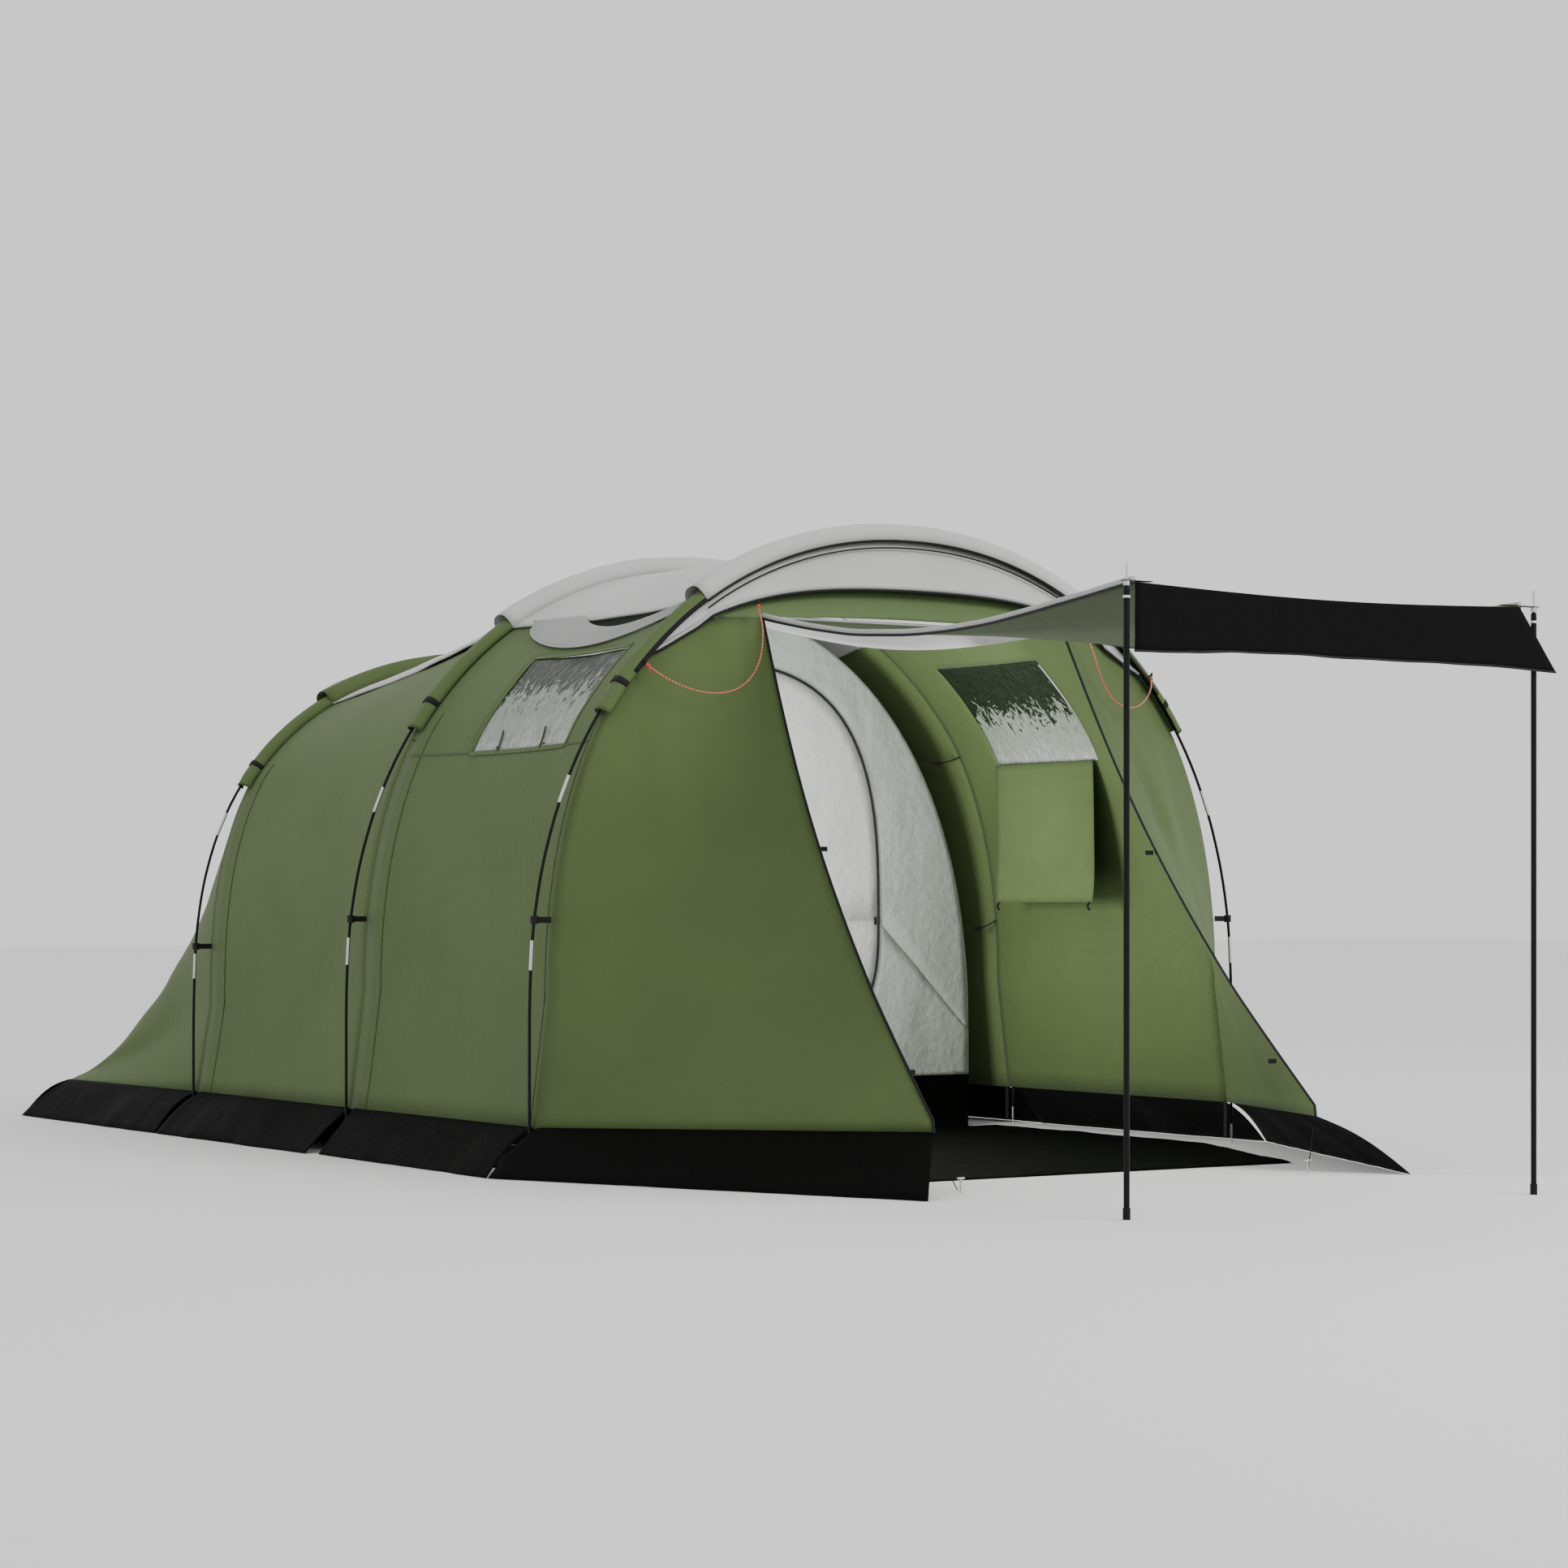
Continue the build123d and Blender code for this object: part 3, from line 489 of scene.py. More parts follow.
def wall_pieces(side):
    """Front and rear bay walls on one side, with their seams, window, border and ties."""
    mirror = side == "left"
    (y_low, y_high), (z_low, z_high) = WINDOWS[side]
    a_low, a_high = angle_at(z_low), angle_at(z_high)
    angles = spread(FOOT_ANGLE, 0, 6) + spread(0, a_low, 14)[1:] + spread(a_low, a_high, 10)[1:]
    angles += spread(a_high, ROOF_ANGLE, 6)[1:]
    ys = spread(Y_FRONT, y_low, 8) + spread(y_low, y_high, 12)[1:] + spread(y_high, Y_MIDDLE, 8)[1:]
    front = bay_surface("front", "middle", mirror)
    wall = grid(
        f"{side}_front_wall_cloth", front, angles, ys, "green",
        hole=lambda a, y: a_low < a < a_high and y_low < y < y_high,
    )
    bands = (
        ("rear_edge", FOOT_ANGLE, SLEEVE_ANGLE + 3, Y_MIDDLE - TAPE_FAR, Y_MIDDLE - TAPE_NEAR),
        ("front_edge", FOOT_ANGLE, ROOF_ANGLE, Y_FRONT + 0.030, Y_FRONT + 0.037),
        ("waist", a_low - 0.35, a_low - 0.05, Y_FRONT + 0.03, Y_MIDDLE - 0.03),
    )
    taped = bay_surface("front", "middle", mirror, lift=SEAM_LIFT)
    for label, low, high, near, far in bands:
        name = f"{side}_front_wall_{label}_seam"
        seam = grid(name, taped, spread(low, high, 40), spread(near, far, 24), "seam")
        trim(seam)
    cloth(wall, front, angles, ys, replaces=[f"{side}_front_bay_wall"])

    film = bay_surface("front", "middle", mirror, lift=-0.002, wrinkle=0.010)
    us, vs = spread(a_low, a_high, 30), spread(y_low, y_high, 40)
    pane = grid(f"{side}_window_film", film, us, vs, "film", thickness=0.0008)
    cloth(pane, film, us, vs, replaces=[f"{side}_window"])
    border_surface = bay_surface("front", "middle", mirror, lift=0.002)
    edge = WINDOW_BORDER
    edge_angle = (a_high - a_low) * edge / (z_high - z_low)
    borders = (
        ("sill", a_low - edge_angle, a_low, y_low - edge, y_high + edge),
        ("head", a_high, a_high + edge_angle, y_low - edge, y_high + edge),
        ("front_jamb", a_low, a_high, y_low - edge, y_low),
        ("rear_jamb", a_low, a_high, y_high, y_high + edge),
    )
    for label, low, high, near, far in borders:
        us, vs = spread(low, high, 16), spread(near, far, 16)
        strip = grid(f"{side}_window_{label}", border_surface, us, vs, "green")
        trim(strip)
    tie_surface = bay_surface("front", "middle", mirror, lift=0.004)
    for share in (0.26, 0.72):
        y = mix(y_low, y_high, share)
        points = [tie_surface(a_low - 0.2 + 3.2 * t, y + 0.02 * t * t) for t in spread(0, 1, 8)]
        trim(tube(f"{side}_window_tie_{int(share * 100)}", points, 0.0035, "seam"))

    rear = bay_surface("middle", "rear", mirror)
    angles = spread(FOOT_ANGLE, 0, 6) + spread(0, ROOF_ANGLE, 30)[1:]
    ys = spread(Y_MIDDLE, Y_REAR, 26)
    wall = grid(f"{side}_rear_wall_cloth", rear, angles, ys, "green")
    seam_surface = bay_surface("middle", "rear", mirror, lift=SEAM_LIFT)
    seam = grid(
        f"{side}_rear_wall_seam", seam_surface, spread(FOOT_ANGLE, SLEEVE_ANGLE + 3, 40),
        spread(Y_REAR - TAPE_FAR, Y_REAR - TAPE_NEAR, 2), "seam",
    )
    trim(seam)
    cloth(wall, rear, angles, ys, replaces=[f"{side}_rear_bay_wall"])


for side in ("left", "right"):
    wall_pieces(side)

EAVE = 1.2                   # degrees by which the roof laps over the walls
for bay, start, end in (("front_bay", "front", "middle"), ("rear_bay", "middle", "rear")):
    roof = bay_surface(start, end, lift=0.006, sag=0.012, wrinkle=0.012)
    angles = spread(ROOF_ANGLE - EAVE, 180 - ROOF_ANGLE + EAVE, 56)
    ys = spread(ARCHES[start][0], ARCHES[end][0], 30)
    panel = grid(f"{bay}_roof_cloth", roof, angles, ys, "grey")
    cloth(panel, roof, angles, ys, replaces=[f"{bay}_roof"])
    for side, angle in (("right", ROOF_ANGLE - EAVE), ("left", 180 - ROOF_ANGLE + EAVE)):
        hem = tube(f"{side}_{bay}_roof_hem", [roof(angle, y) for y in ys], 0.0035, "grey_trim")
        trim(hem)


# ---------------------------------------------------------------- roof vents
VENT_TOP = ROOF_ANGLE - EAVE + 0.2


def bulge(share, power):
    """Height from 0 to 1 of a lens that is closed at both ends."""
    return max(0.0, math.sin(math.pi * clamp(share))) ** power


def vent_pieces(side):
    """Dark mesh below the eave and the grey scoop under it."""
    mirror = side == "left"

    def lens(y):
        share = (y - Y_FRONT - 0.045) / 0.66
        return VENT_TOP - 4.4 * bulge(share, 0.7)

    def mesh_surface(u, y):
        surface = bay_surface("front", "middle", mirror, lift=0.002, wrinkle=0.002)
        return surface(mix(lens(y), VENT_TOP, u) - 0.4, y)

    us, ys = spread(0, 1, 6), spread(Y_FRONT + 0.04, Y_FRONT + 0.72, 30)
    mesh = grid(f"{side}_vent_mesh_cloth", mesh_surface, us, ys, "mesh")
    cloth(mesh, mesh_surface, us, ys, replaces=[f"{side}_vent_mesh"])

    def scoop_surface(u, y):
        share = (y - Y_FRONT - 0.04) / 1.02
        low = VENT_TOP - 7.2 * bulge(share, 0.6)
        surface = bay_surface("front", "middle", mirror, lift=0.010 + 0.014 * u, wrinkle=0.003)
        return surface(mix(low, lens(y) + 0.1, u), y)

    us, ys = spread(0, 1, 10), spread(Y_FRONT + 0.04, Y_FRONT + 1.06, 40)
    # The scoop's darker grey is painted shade on the roof cloth.
    scoop = grid(f"{side}_vent_scoop_cloth", scoop_surface, us, ys, "scoop")
    hem = tube(f"{side}_vent_scoop_hem", [scoop_surface(0, y) for y in ys], 0.003, "grey_trim")
    hem = as_mesh(hem, "grey_trim")
    for piece in (scoop, hem):
        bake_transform(piece)
    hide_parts(f"{side}_vent_scoop")
    flat = flat_size(scoop_surface, us, ys)


for side in ("left", "right"):
    vent_pieces(side)


# ---------------------------------------------------------------- sleeves
# half width behind the arch, and height, of the tunnels down the sides and over the roof
SIDE_TUNNEL = (0.034, 0.032)
TOP_TUNNEL = (0.090, 0.056)


def sleeve_surface(arch, half, height, front_half=0.034):
    """Surface (angle, v) of a tunnel standing on the fly, v from -1 at the front to 1 behind."""
    y = ARCHES[arch][0]

    def surface(angle, v):
        x, z = fly_profile(arch, angle)
        out_x, out_z = profile_normal(arch, angle)
        out = height * max(0.0, 1 - abs(v) ** 2.4) ** 0.6 + 0.003
        out += ripple((x, y + v, z), 0.003, (3, 3, 3), 7.0) * (1 - abs(v))
        return x + out_x * out, y + (half if v > 0 else front_half) * v, z + out_z * out

    return surface


VS = spread(-1, 1, 16)
for arch in ARCHES:
    start = SLEEVE_START[arch]
    joints = [start, ROOF_ANGLE - EAVE, 180 - ROOF_ANGLE + EAVE, 180 - start]
    parts = (
        ("right", joints[0], joints[1] + 1, SIDE_TUNNEL, "green"),
        ("top", joints[1], joints[2], TOP_TUNNEL, "green" if arch == "rear" else "grey"),
        ("left", joints[2] - 1, joints[3], SIDE_TUNNEL, "green"),
    )
    for label, low, high, tunnel_size, finish in parts:
        surface = sleeve_surface(arch, *tunnel_size)
        us = spread(low, high, 44)
        tunnel = grid(f"{arch}_sleeve_{label}", surface, us, VS, finish)
        replaced = [f"{arch}_sleeve"] if label == "top" else []
        cloth(tunnel, surface, us, VS, replaces=replaced)
        if label != "top":
            end = low if label == "right" else high
            hem = tube(f"{arch}_sleeve_{label}_hem", [surface(end, v) for v in VS], 0.003, "seam")
            trim(hem)
    for side, angle in (("right", start + 4.5), ("left", 180 - start - 4.5)):
        loop = sleeve_surface(arch, 0.038, 0.036)
        us = spread(angle - 0.45, angle + 0.45, 2)
        strap = grid(f"{arch}_{side}_sleeve_band", loop, us, VS, "webbing")
        trim(strap)
        if arch == "front" and side == "left":
            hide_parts("sleeve_bands")

surface = sleeve_surface("front", 0.040, 0.030)
for side, low, high in (("right", 42.0, ROOF_ANGLE), ("left", 180 - ROOF_ANGLE, 138.0)):
    us, vs = spread(low, high, 24), spread(-1.12, -0.72, 4)
    trim(grid(f"{side}_front_sleeve_strip", surface, us, vs, "webbing"))
top = sleeve_surface("front", *TOP_TUNNEL)
angles = spread(ROOF_ANGLE - EAVE, 180 - ROOF_ANGLE + EAVE, 60)
for label, drop, width in (("upper", 0.0, 0.0040), ("lower", 0.022, 0.0026)):
    points = [Vector(top(angle, -1.05)) - Vector((0, 0, drop)) for angle in angles]
    trim(tube(f"front_arch_piping_{label}", points, width, "black"))


# ---------------------------------------------------------------- rear cap
def rear_surface(angle, share):
    """Rear cap from the rear arch (share 0) to its ground edge (share 1)."""
    x, z = fly_profile("rear", angle)
    scale = REAR_HALF / (HALF_WIDTH - BASE_INSET)
    height = z - BASE_Z
    low_z = BASE_Z + 0.022 * clamp(height / 0.3)
    middle = 4 * share * (1 - share)
    slump = middle * clamp(height / 0.5) * (0.028 + ripple((x, share, z), 0.02, (1, 2, 1), 5.0))
    pull = 1 - 0.035 * middle * min(1.0, abs(x) / 0.9) * clamp(height / 0.4)
    y = mix(Y_REAR, REAR_BASE_Y, share) - slump * 0.8
    return mix(x, x * scale, share) * pull, y, mix(z, low_z, share) - slump


angles = spread(FOOT_ANGLE, 0, 5) + spread(0, 180, 84)[1:] + spread(180, 180 - FOOT_ANGLE, 5)[1:]
shares = spread(0, 1, 30)
rear = grid("rear_panel_cloth", rear_surface, angles, shares, "green")
cloth(rear, rear_surface, angles, shares, replaces=["rear_panel"])
for label, angle in (("left", 124.0), ("right", 56.0)):
    points = [Vector(rear_surface(angle, share)) + Vector((0, 0.001, 0.002)) for share in shares]
    trim(tube(f"rear_panel_{label}_seam", points, 0.003, "seam"))


# ---------------------------------------------------------------- porch
def door_edge(height):
    """Right door edge (x, y) at a height."""
    share = (max(height, DOOR_FOOT[2]) - DOOR_FOOT[2]) / (DOOR_TOP[2] - DOOR_FOOT[2])
    bow = DOOR_BOW * math.sin(math.pi * share)
    return mix(DOOR_FOOT[0], DOOR_TOP[0], share), mix(DOOR_FOOT[1], DOOR_TOP[1], share) + bow


def porch_surface(mirror):
    """Surface (height, share) from the front arch (0) to the door edge (1)."""
    side = -1 if mirror else 1

    def surface(height, share):
        x_arch = fly_profile("front", angle_at(height))[0]
        x_door, y_door = door_edge(height)
        z = height + 0.03 * share * max(0.0, 1 - (height - BASE_Z) / 0.4)
        x, y = mix(x_arch, x_door, share), mix(Y_FRONT, y_door, share)
        depth = 4 * share * (1 - share) * (0.014 + ripple((x, y, z), 0.020, (3.0, 3.0, 0.5), 11.0))
        firm = min(1.0, (height - BASE_Z) / 0.2)
        out = Vector((Y_FRONT - y_door, x_door - x_arch)).normalized()
        return side * (x - out.x * depth * firm), y + abs(out.y) * depth * firm, z

    return surface


HEIGHTS = spread(BASE_Z, DOOR_TOP[2], 44)
SHARES = spread(0, 1, 24)
for side in ("left", "right"):
    surface = porch_surface(side == "left")
    edge = [surface(height, 1.0) for height in HEIGHTS]
    piping = trim(tube(f"{side}_door_piping", edge, 0.0042, "black"))
    wall = grid(f"{side}_porch_cloth", surface, HEIGHTS, SHARES, "green")
    cloth(wall, surface, HEIGHTS, SHARES, replaces=[f"{side}_porch_wall"])


def header_surface(angle, share, lift=0.0):
    """Top of the porch, from the front arch (0) to the head of the door (1)."""
    x_arch, z_arch = fly_profile("front", angle)
    across = (90 - angle) / (90 - HEADER_ANGLE)
    x_door = DOOR_TOP[0] * across
    z_door = DOOR_TOP[2] + 0.003 + 0.012 * (1 - across**2)
    dip = 0.010 * 4 * share * (1 - share)
    y = mix(Y_FRONT, DOOR_TOP[1], share)
    z = mix(z_arch, z_door, share) - dip
    return mix(x_arch, x_door, share), y - lift, z + lift * 0.4


HEADER_ANGLES = spread(HEADER_ANGLE, 180 - HEADER_ANGLE, 50)
# The header's lighter green is painted light on the same fly cloth.
header = grid("door_header_cloth", header_surface, HEADER_ANGLES, SHARES, "header")
cloth(header, header_surface, HEADER_ANGLES, SHARES, replaces=["door_header"])


def lining_surface(angle, share):
    """Grey lining hanging inside the head of the door."""
    x, y, z = header_surface(angle, 1.0)
    drop = 0.075 * share * math.sin(math.pi * (angle - HEADER_ANGLE) / (180 - 2 * HEADER_ANGLE))
    return x * (1 - 0.02 * share), y + 0.030 + 0.10 * share, z - 0.006 - drop


vs = spread(0, 1, 6)
# The lining takes the scoop finish, roof grey darkened as painted shade.
lining = grid("door_head_lining", lining_surface, HEADER_ANGLES, vs, "scoop")
cloth(lining, lining_surface, HEADER_ANGLES, vs)

HOOD_SPREAD = 44.0           # degrees from the arch's peak to each end of the hood
HOOD_REACH = 0.60            # share of the header that the hood covers at its middle


def hood_surface(angle, share):
    """Grey visor hanging from the front arch over the header."""
    reach = HOOD_REACH * max(0.0, 1 - ((angle - 90) / HOOD_SPREAD) ** 2) ** 0.8
    if angle < HEADER_ANGLE or angle > 180 - HEADER_ANGLE:
        side = -1 if angle > 90 else 1
        height = min(fly_profile("front", angle)[1], DOOR_TOP[2])
        x, y, z = porch_surface(side < 0)(height, 0.0)
        x -= side * 0.10 * reach * share / HOOD_REACH
        return x, y - 0.012 - 0.05 * share * reach, z - 0.10 * share * reach
    x, y, z = header_surface(angle, reach * share, 0.012)
    return x, y - 0.020 * share * reach / HOOD_REACH, z


angles = spread(90 - HOOD_SPREAD, 90 + HOOD_SPREAD, 64)
us = spread(0, 1, 10)


def hood_flat(share, angle):
    """The hood with its arguments in the other order, for even cells along its hem."""
    return hood_surface(angle, share)


hood = grid("porch_hood_cloth", hood_flat, us, angles, "grey")
hem_points = [Vector(hood_surface(angle, 1.0)) + Vector((0, -0.002, 0.004)) for angle in angles]
under_points = [point + Vector((0, -0.001, -0.010)) for point in hem_points]
hem = trim(tube("porch_hood_grey_hem", hem_points, 0.006, "grey_trim"))
under = trim(tube("porch_hood_black_hem", under_points, 0.0045, "black"))
cloth(hood, hood_flat, us, angles, "tent", ["porch_hood"])


# ---------------------------------------------------------------- awning
canopy_low, canopy_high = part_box("awning_canopy")
AWNING_BACK_Y, AWNING_FRONT_Y = canopy_high.y, canopy_low.y
AWNING_BACK_HALF = 0.574
AWNING_CORNER_X = (-0.755, 0.600)
AWNING_Z = (1.683, 1.626)
EDGE_SAG = 0.083
MIDDLE_SAG = 0.066
VALANCE_LOW_X = (-0.760, 0.735)
VALANCE_LOW_Z = 1.450


def canopy_surface(across, along):
    """Awning cloth: across from -1 (left) to 1, along from 0 at the door head to 1 at the props."""
    x_front = mix(*AWNING_CORNER_X, (across + 1) / 2)
    hollow = 0.035 * math.sin(math.pi * along) * across
    x = mix(AWNING_BACK_HALF * across, x_front, along) - hollow
    y = mix(AWNING_BACK_Y, AWNING_FRONT_Y, along)
    slack = math.sin(math.pi * along**0.85) ** 1.1
    sag = mix(MIDDLE_SAG, EDGE_SAG, across**2) * slack
    z = mix(*AWNING_Z, along) - sag
    front_dip = 0.016 * math.sin(math.pi * (across + 1) / 2) * along**6
    return x, y, z - front_dip + ripple((x, y, 0), 0.004, seed=2.0) * slack


across, along = spread(-1, 1, 40), spread(0, 1, 56)
# The canopy's dark green is painted shade on the same fly cloth.
canopy = grid("awning_cloth", canopy_surface, across, along, "canopy")
for side, edge in (("left", -1), ("right", 1)):
    line = [Vector(canopy_surface(edge, t)) for t in along]
    for label, out, up, radius, finish in (
        ("grey_edge", 0.004, 0.008, 0.0075, "grey_trim"),
        ("black_piping", 0.006, -0.002, 0.0042, "black"),
    ):
        points = [point + Vector((edge * out, 0, up)) for point in line]
        piping = tube(f"awning_{side}_{label}", points, radius, finish)
        trim(piping, "awning")
cloth(canopy, canopy_surface, across, along, "awning", ["awning_canopy"])
zip_line = [Vector(canopy_surface(a, 0.004)) + Vector((0, 0, 0.003)) for a in across]
trim(tube("awning_door_head_seam", zip_line, 0.004, "grey_trim"), "tent")


def valance_surface(across, down):
    """Black woven band below the awning's front edge."""
    x_top, x_low = mix(*AWNING_CORNER_X, (across + 1) / 2), mix(*VALANCE_LOW_X, (across + 1) / 2)
    top_z = canopy_surface(across, 1.0)[2] - 0.001
    low_z = VALANCE_LOW_Z + 0.012 * math.sin(math.pi * (across + 1) / 2)
    low_z += ripple((x_low, 0, 0), 0.006, seed=9.0)
    wave = ripple((x_top * 2, down, 0.4), 0.006, seed=4.0) * down
    y = AWNING_FRONT_Y - 0.004 - 0.004 * down - abs(wave) * 0.3
    return mix(x_top, x_low, down), y, mix(top_z, low_z, down)


across, downs = spread(-1, 1, 60), spread(0, 1, 12)
valance = grid("awning_valance_cloth", valance_surface, across, downs, "valance", thickness=0.002)
cloth(valance, valance_surface, across, downs, "valance", ["awning_valance"])
hem = tube("awning_valance_hem", [valance_surface(a, 1.0) for a in across], 0.0032, "black")
trim(hem, "valance")


# ---------------------------------------------------------------- skirts
def flap_surface(top, low, seed):
    """Skirt between a line along the fly and a line on the ground, each given by its two ends."""
    def surface(along, down):
        up = Vector(top[0]).lerp(Vector(top[1]), along)
        ground = Vector(low[0]).lerp(Vector(low[1]), along)
        out = (ground - up).normalized()
        out.z = 0
        length = (Vector(top[1]) - Vector(top[0])).length
        wave = noise.noise(Vector((along * length * 3.2, seed, 0.3)))
        fine = noise.noise(Vector((along * length * 9.0, seed, 2.3)))
        point = up.lerp(ground, down)
        point -= out * (0.022 * abs(wave) + 0.010 * abs(fine)) * down
        point.z += 0.030 * math.sin(math.pi * down) * (0.5 + wave) + 0.002 * down
        return point.x, point.y, max(0.0012, point.z)
    return surface


SKIRT_X, SKIRT_REAR_Y = 1.503, 2.926
SLIT = 0.014                 # half the gap between neighbouring skirts
SKIRT_TOP_Z = BASE_Z + 0.004
PORCH_SKIRT_TOP_Z = BASE_Z + 0.030
PORCH_SKIRT_CORNER = (0.885, -2.200)
FOOT_X = HALF_WIDTH - BASE_INSET
flaps = {}
for side, sign in (("right", 1), ("left", -1)):
    gap = 0.05 if sign < 0 else 0.012
    runs = (
        ("front", (FOOT_X, Y_FRONT + SLIT), (FOOT_X, Y_MIDDLE - SLIT),
         (SKIRT_X, Y_FRONT), (SKIRT_X - 0.02, Y_MIDDLE - gap)),
        ("middle", (FOOT_X, Y_MIDDLE + SLIT), (FOOT_X, Y_REAR - SLIT),
         (SKIRT_X, Y_MIDDLE + 0.01), (SKIRT_X, Y_REAR - SLIT)),
        ("rear", (FOOT_X, Y_REAR + SLIT), (REAR_HALF, REAR_BASE_Y),
         (SKIRT_X, Y_REAR + SLIT), (SKIRT_X, SKIRT_REAR_Y - 0.002)),
        ("porch", DOOR_FOOT[:2], (FOOT_X, Y_FRONT - SLIT), PORCH_SKIRT_CORNER, (SKIRT_X, Y_FRONT - SLIT)),
    )
    for label, top_a, top_b, low_a, low_b in runs:
        tops = [(sign * x, y, SKIRT_TOP_Z) for x, y in (top_a, top_b)]
        lows = [(sign * x, y, 0.0) for x, y in (low_a, low_b)]
        if label == "porch":
            tops[0] = (tops[0][0], tops[0][1], PORCH_SKIRT_TOP_Z)
        flaps[f"{side}_{label}_skirt"] = (tops, lows)
flaps["rear_skirt"] = (
    [(x, REAR_BASE_Y, SKIRT_TOP_Z) for x in (-REAR_HALF, REAR_HALF)],
    [(x, SKIRT_REAR_Y, 0.0) for x in (-SKIRT_X, SKIRT_X)],
)
REPLACED_SKIRTS = {"right_middle_skirt": "right_skirt", "left_middle_skirt": "left_skirt"}
for name in ("right_porch_skirt", "left_porch_skirt", "rear_skirt"):
    REPLACED_SKIRTS[name] = name
for number, (name, (tops, lows)) in enumerate(flaps.items()):
    surface = flap_surface(tops, lows, number * 1.7)
    us, vs = spread(0, 1, 60), spread(0, 1, 10)
    flap = grid(f"{name}_cloth", surface, us, vs, "skirt")
    replaced = [REPLACED_SKIRTS[name]] if name in REPLACED_SKIRTS else []
    cloth(flap, surface, us, vs, replaces=replaced)


# ---------------------------------------------------------------- bedroom
INNER_HALF = 1.165
# y, spring height, rise and roundness at the front, the middle and the back
INNER_SECTIONS = ((0.425, 0.350, 1.500, 2.2), (1.600, 0.330, 1.220, 2.3), (2.560, 0.192, 0.060, 2.2))
TRAY_Z = 0.190
# half width, middle height, rise above it, fall below it and roundness
INNER_DOOR = (0.765, 0.750, 0.910, 0.500, 3.0)


def inner_profile(section, angle):
    """Bedroom outline (x, z) at a section."""
    if angle > 90:
        x, z = inner_profile(section, 180 - angle)
        return -x, z
    spring, rise, power = section[1:]
    if angle < 0:
        return INNER_HALF, spring + (TRAY_Z - spring) * angle / FOOT_ANGLE
    return curve_point(INNER_HALF, spring, rise, power, angle)


def shell_surface(angle, along):
    """Bedroom shell; along from 0 at its front to 2 at its back edge."""
    first = min(1, int(along))
    share = along - first
    x_a, z_a = inner_profile(INNER_SECTIONS[first], angle)
    x_b, z_b = inner_profile(INNER_SECTIONS[first + 1], angle)
    y_a, y_b = INNER_SECTIONS[first][0], INNER_SECTIONS[first + 1][0]
    x, z = mix(x_a, x_b, share), mix(z_a, z_b, share)
    middle = math.sin(math.pi * share)
    slack = 0.03 * middle + ripple((x, along, z), 0.012, (2, 3, 2), 1.0) * middle
    scale = 1 - slack * clamp((z - TRAY_Z) / 0.2)
    return x * scale, mix(y_a, y_b, share), mix(TRAY_Z, z, scale)


us = spread(FOOT_ANGLE, 0, 3) + spread(0, 180, 64)[1:] + spread(180, 180 - FOOT_ANGLE, 3)[1:]
vs = spread(0, 2, 40)
shell = grid("bedroom_shell_cloth", shell_surface, us, vs, "bedroom")
cloth(shell, shell_surface, us, vs, replaces=["bedroom_shell"])


def door_radius(direction):
    """Point (x, z) on the bedroom door's zip line in a direction in degrees."""
    half, middle, rise, fall, power = INNER_DOOR
    height = rise if direction % 360 < 180 else fall
    x, z = curve_point(half, 0, height, power, direction)
    return x, middle + (z if direction % 360 < 180 else -z)


def front_wall_surface(direction, out):
    """Bedroom front wall in rings, from the door's zip line (0) to its outer edge (1)."""
    inner_x, inner_z = door_radius(direction)
    spring = INNER_SECTIONS[0][1]
    turn = direction % 360
    if turn <= 180:
        outer_x, outer_z = inner_profile(INNER_SECTIONS[0], turn)
        if turn < 12 or turn > 168:
            low = min(turn, 180 - turn) / 12
            outer_z = mix(spring, outer_z, low)
    else:
        along = (turn - 180) / 180
        corner = 0.2
        if along < corner or along > 1 - corner:
            side = 1 if along > 0.5 else -1
            drop = (1 - along if along > 0.5 else along) / corner
            outer_x, outer_z = side * INNER_HALF, mix(spring, TRAY_Z, drop)
        else:
            outer_x, outer_z = INNER_HALF * ((along - 0.5) / (0.5 - corner)), TRAY_Z
    x, z = mix(inner_x, outer_x, out), mix(inner_z, outer_z, out)
    puff = ripple((x, 0, z), 0.030, (2.2, 1, 1.4), 6.0) * math.sin(math.pi * out)
    return x, INNER_SECTIONS[0][0] - 0.002 - abs(puff) * 0.6, z


us, vs = spread(0, 360, 120), spread(0, 1, 14)
front_wall = grid("bedroom_front_cloth", front_wall_surface, us, vs, "bedroom")
cloth(front_wall, front_wall_surface, us, vs, "tent", ["bedroom_front"], upright=True)


def inner_door_surface(direction, out):
    """White bedroom door, from its middle to the zip line."""
    x, z = door_radius(direction)
    middle = INNER_DOOR[1]
    x, z = x * out * 0.996, middle + (z - middle) * out * 0.996
    puff = ripple((x, 0, z), 0.018, (1.4, 1, 0.8), 8.0) * math.cos(math.pi * out / 2)
    return x, INNER_SECTIONS[0][0] - 0.004 - abs(puff) * 0.6, z


us, vs = spread(0, 360, 96), spread(0.02, 1, 20)
points = [Vector(inner_door_surface(direction, 1.0)) - Vector((0, 0.003, 0)) for direction in us[:-1]]
trim(tube("bedroom_door_zip", points, 0.0045, "black", True), "inner_door")
inner_door = grid("bedroom_door_cloth", inner_door_surface, us, vs, "bedroom_door")
cloth(
    inner_door, inner_door_surface, us, vs, "inner_door", ["bedroom_door"],
    upright=True,
)


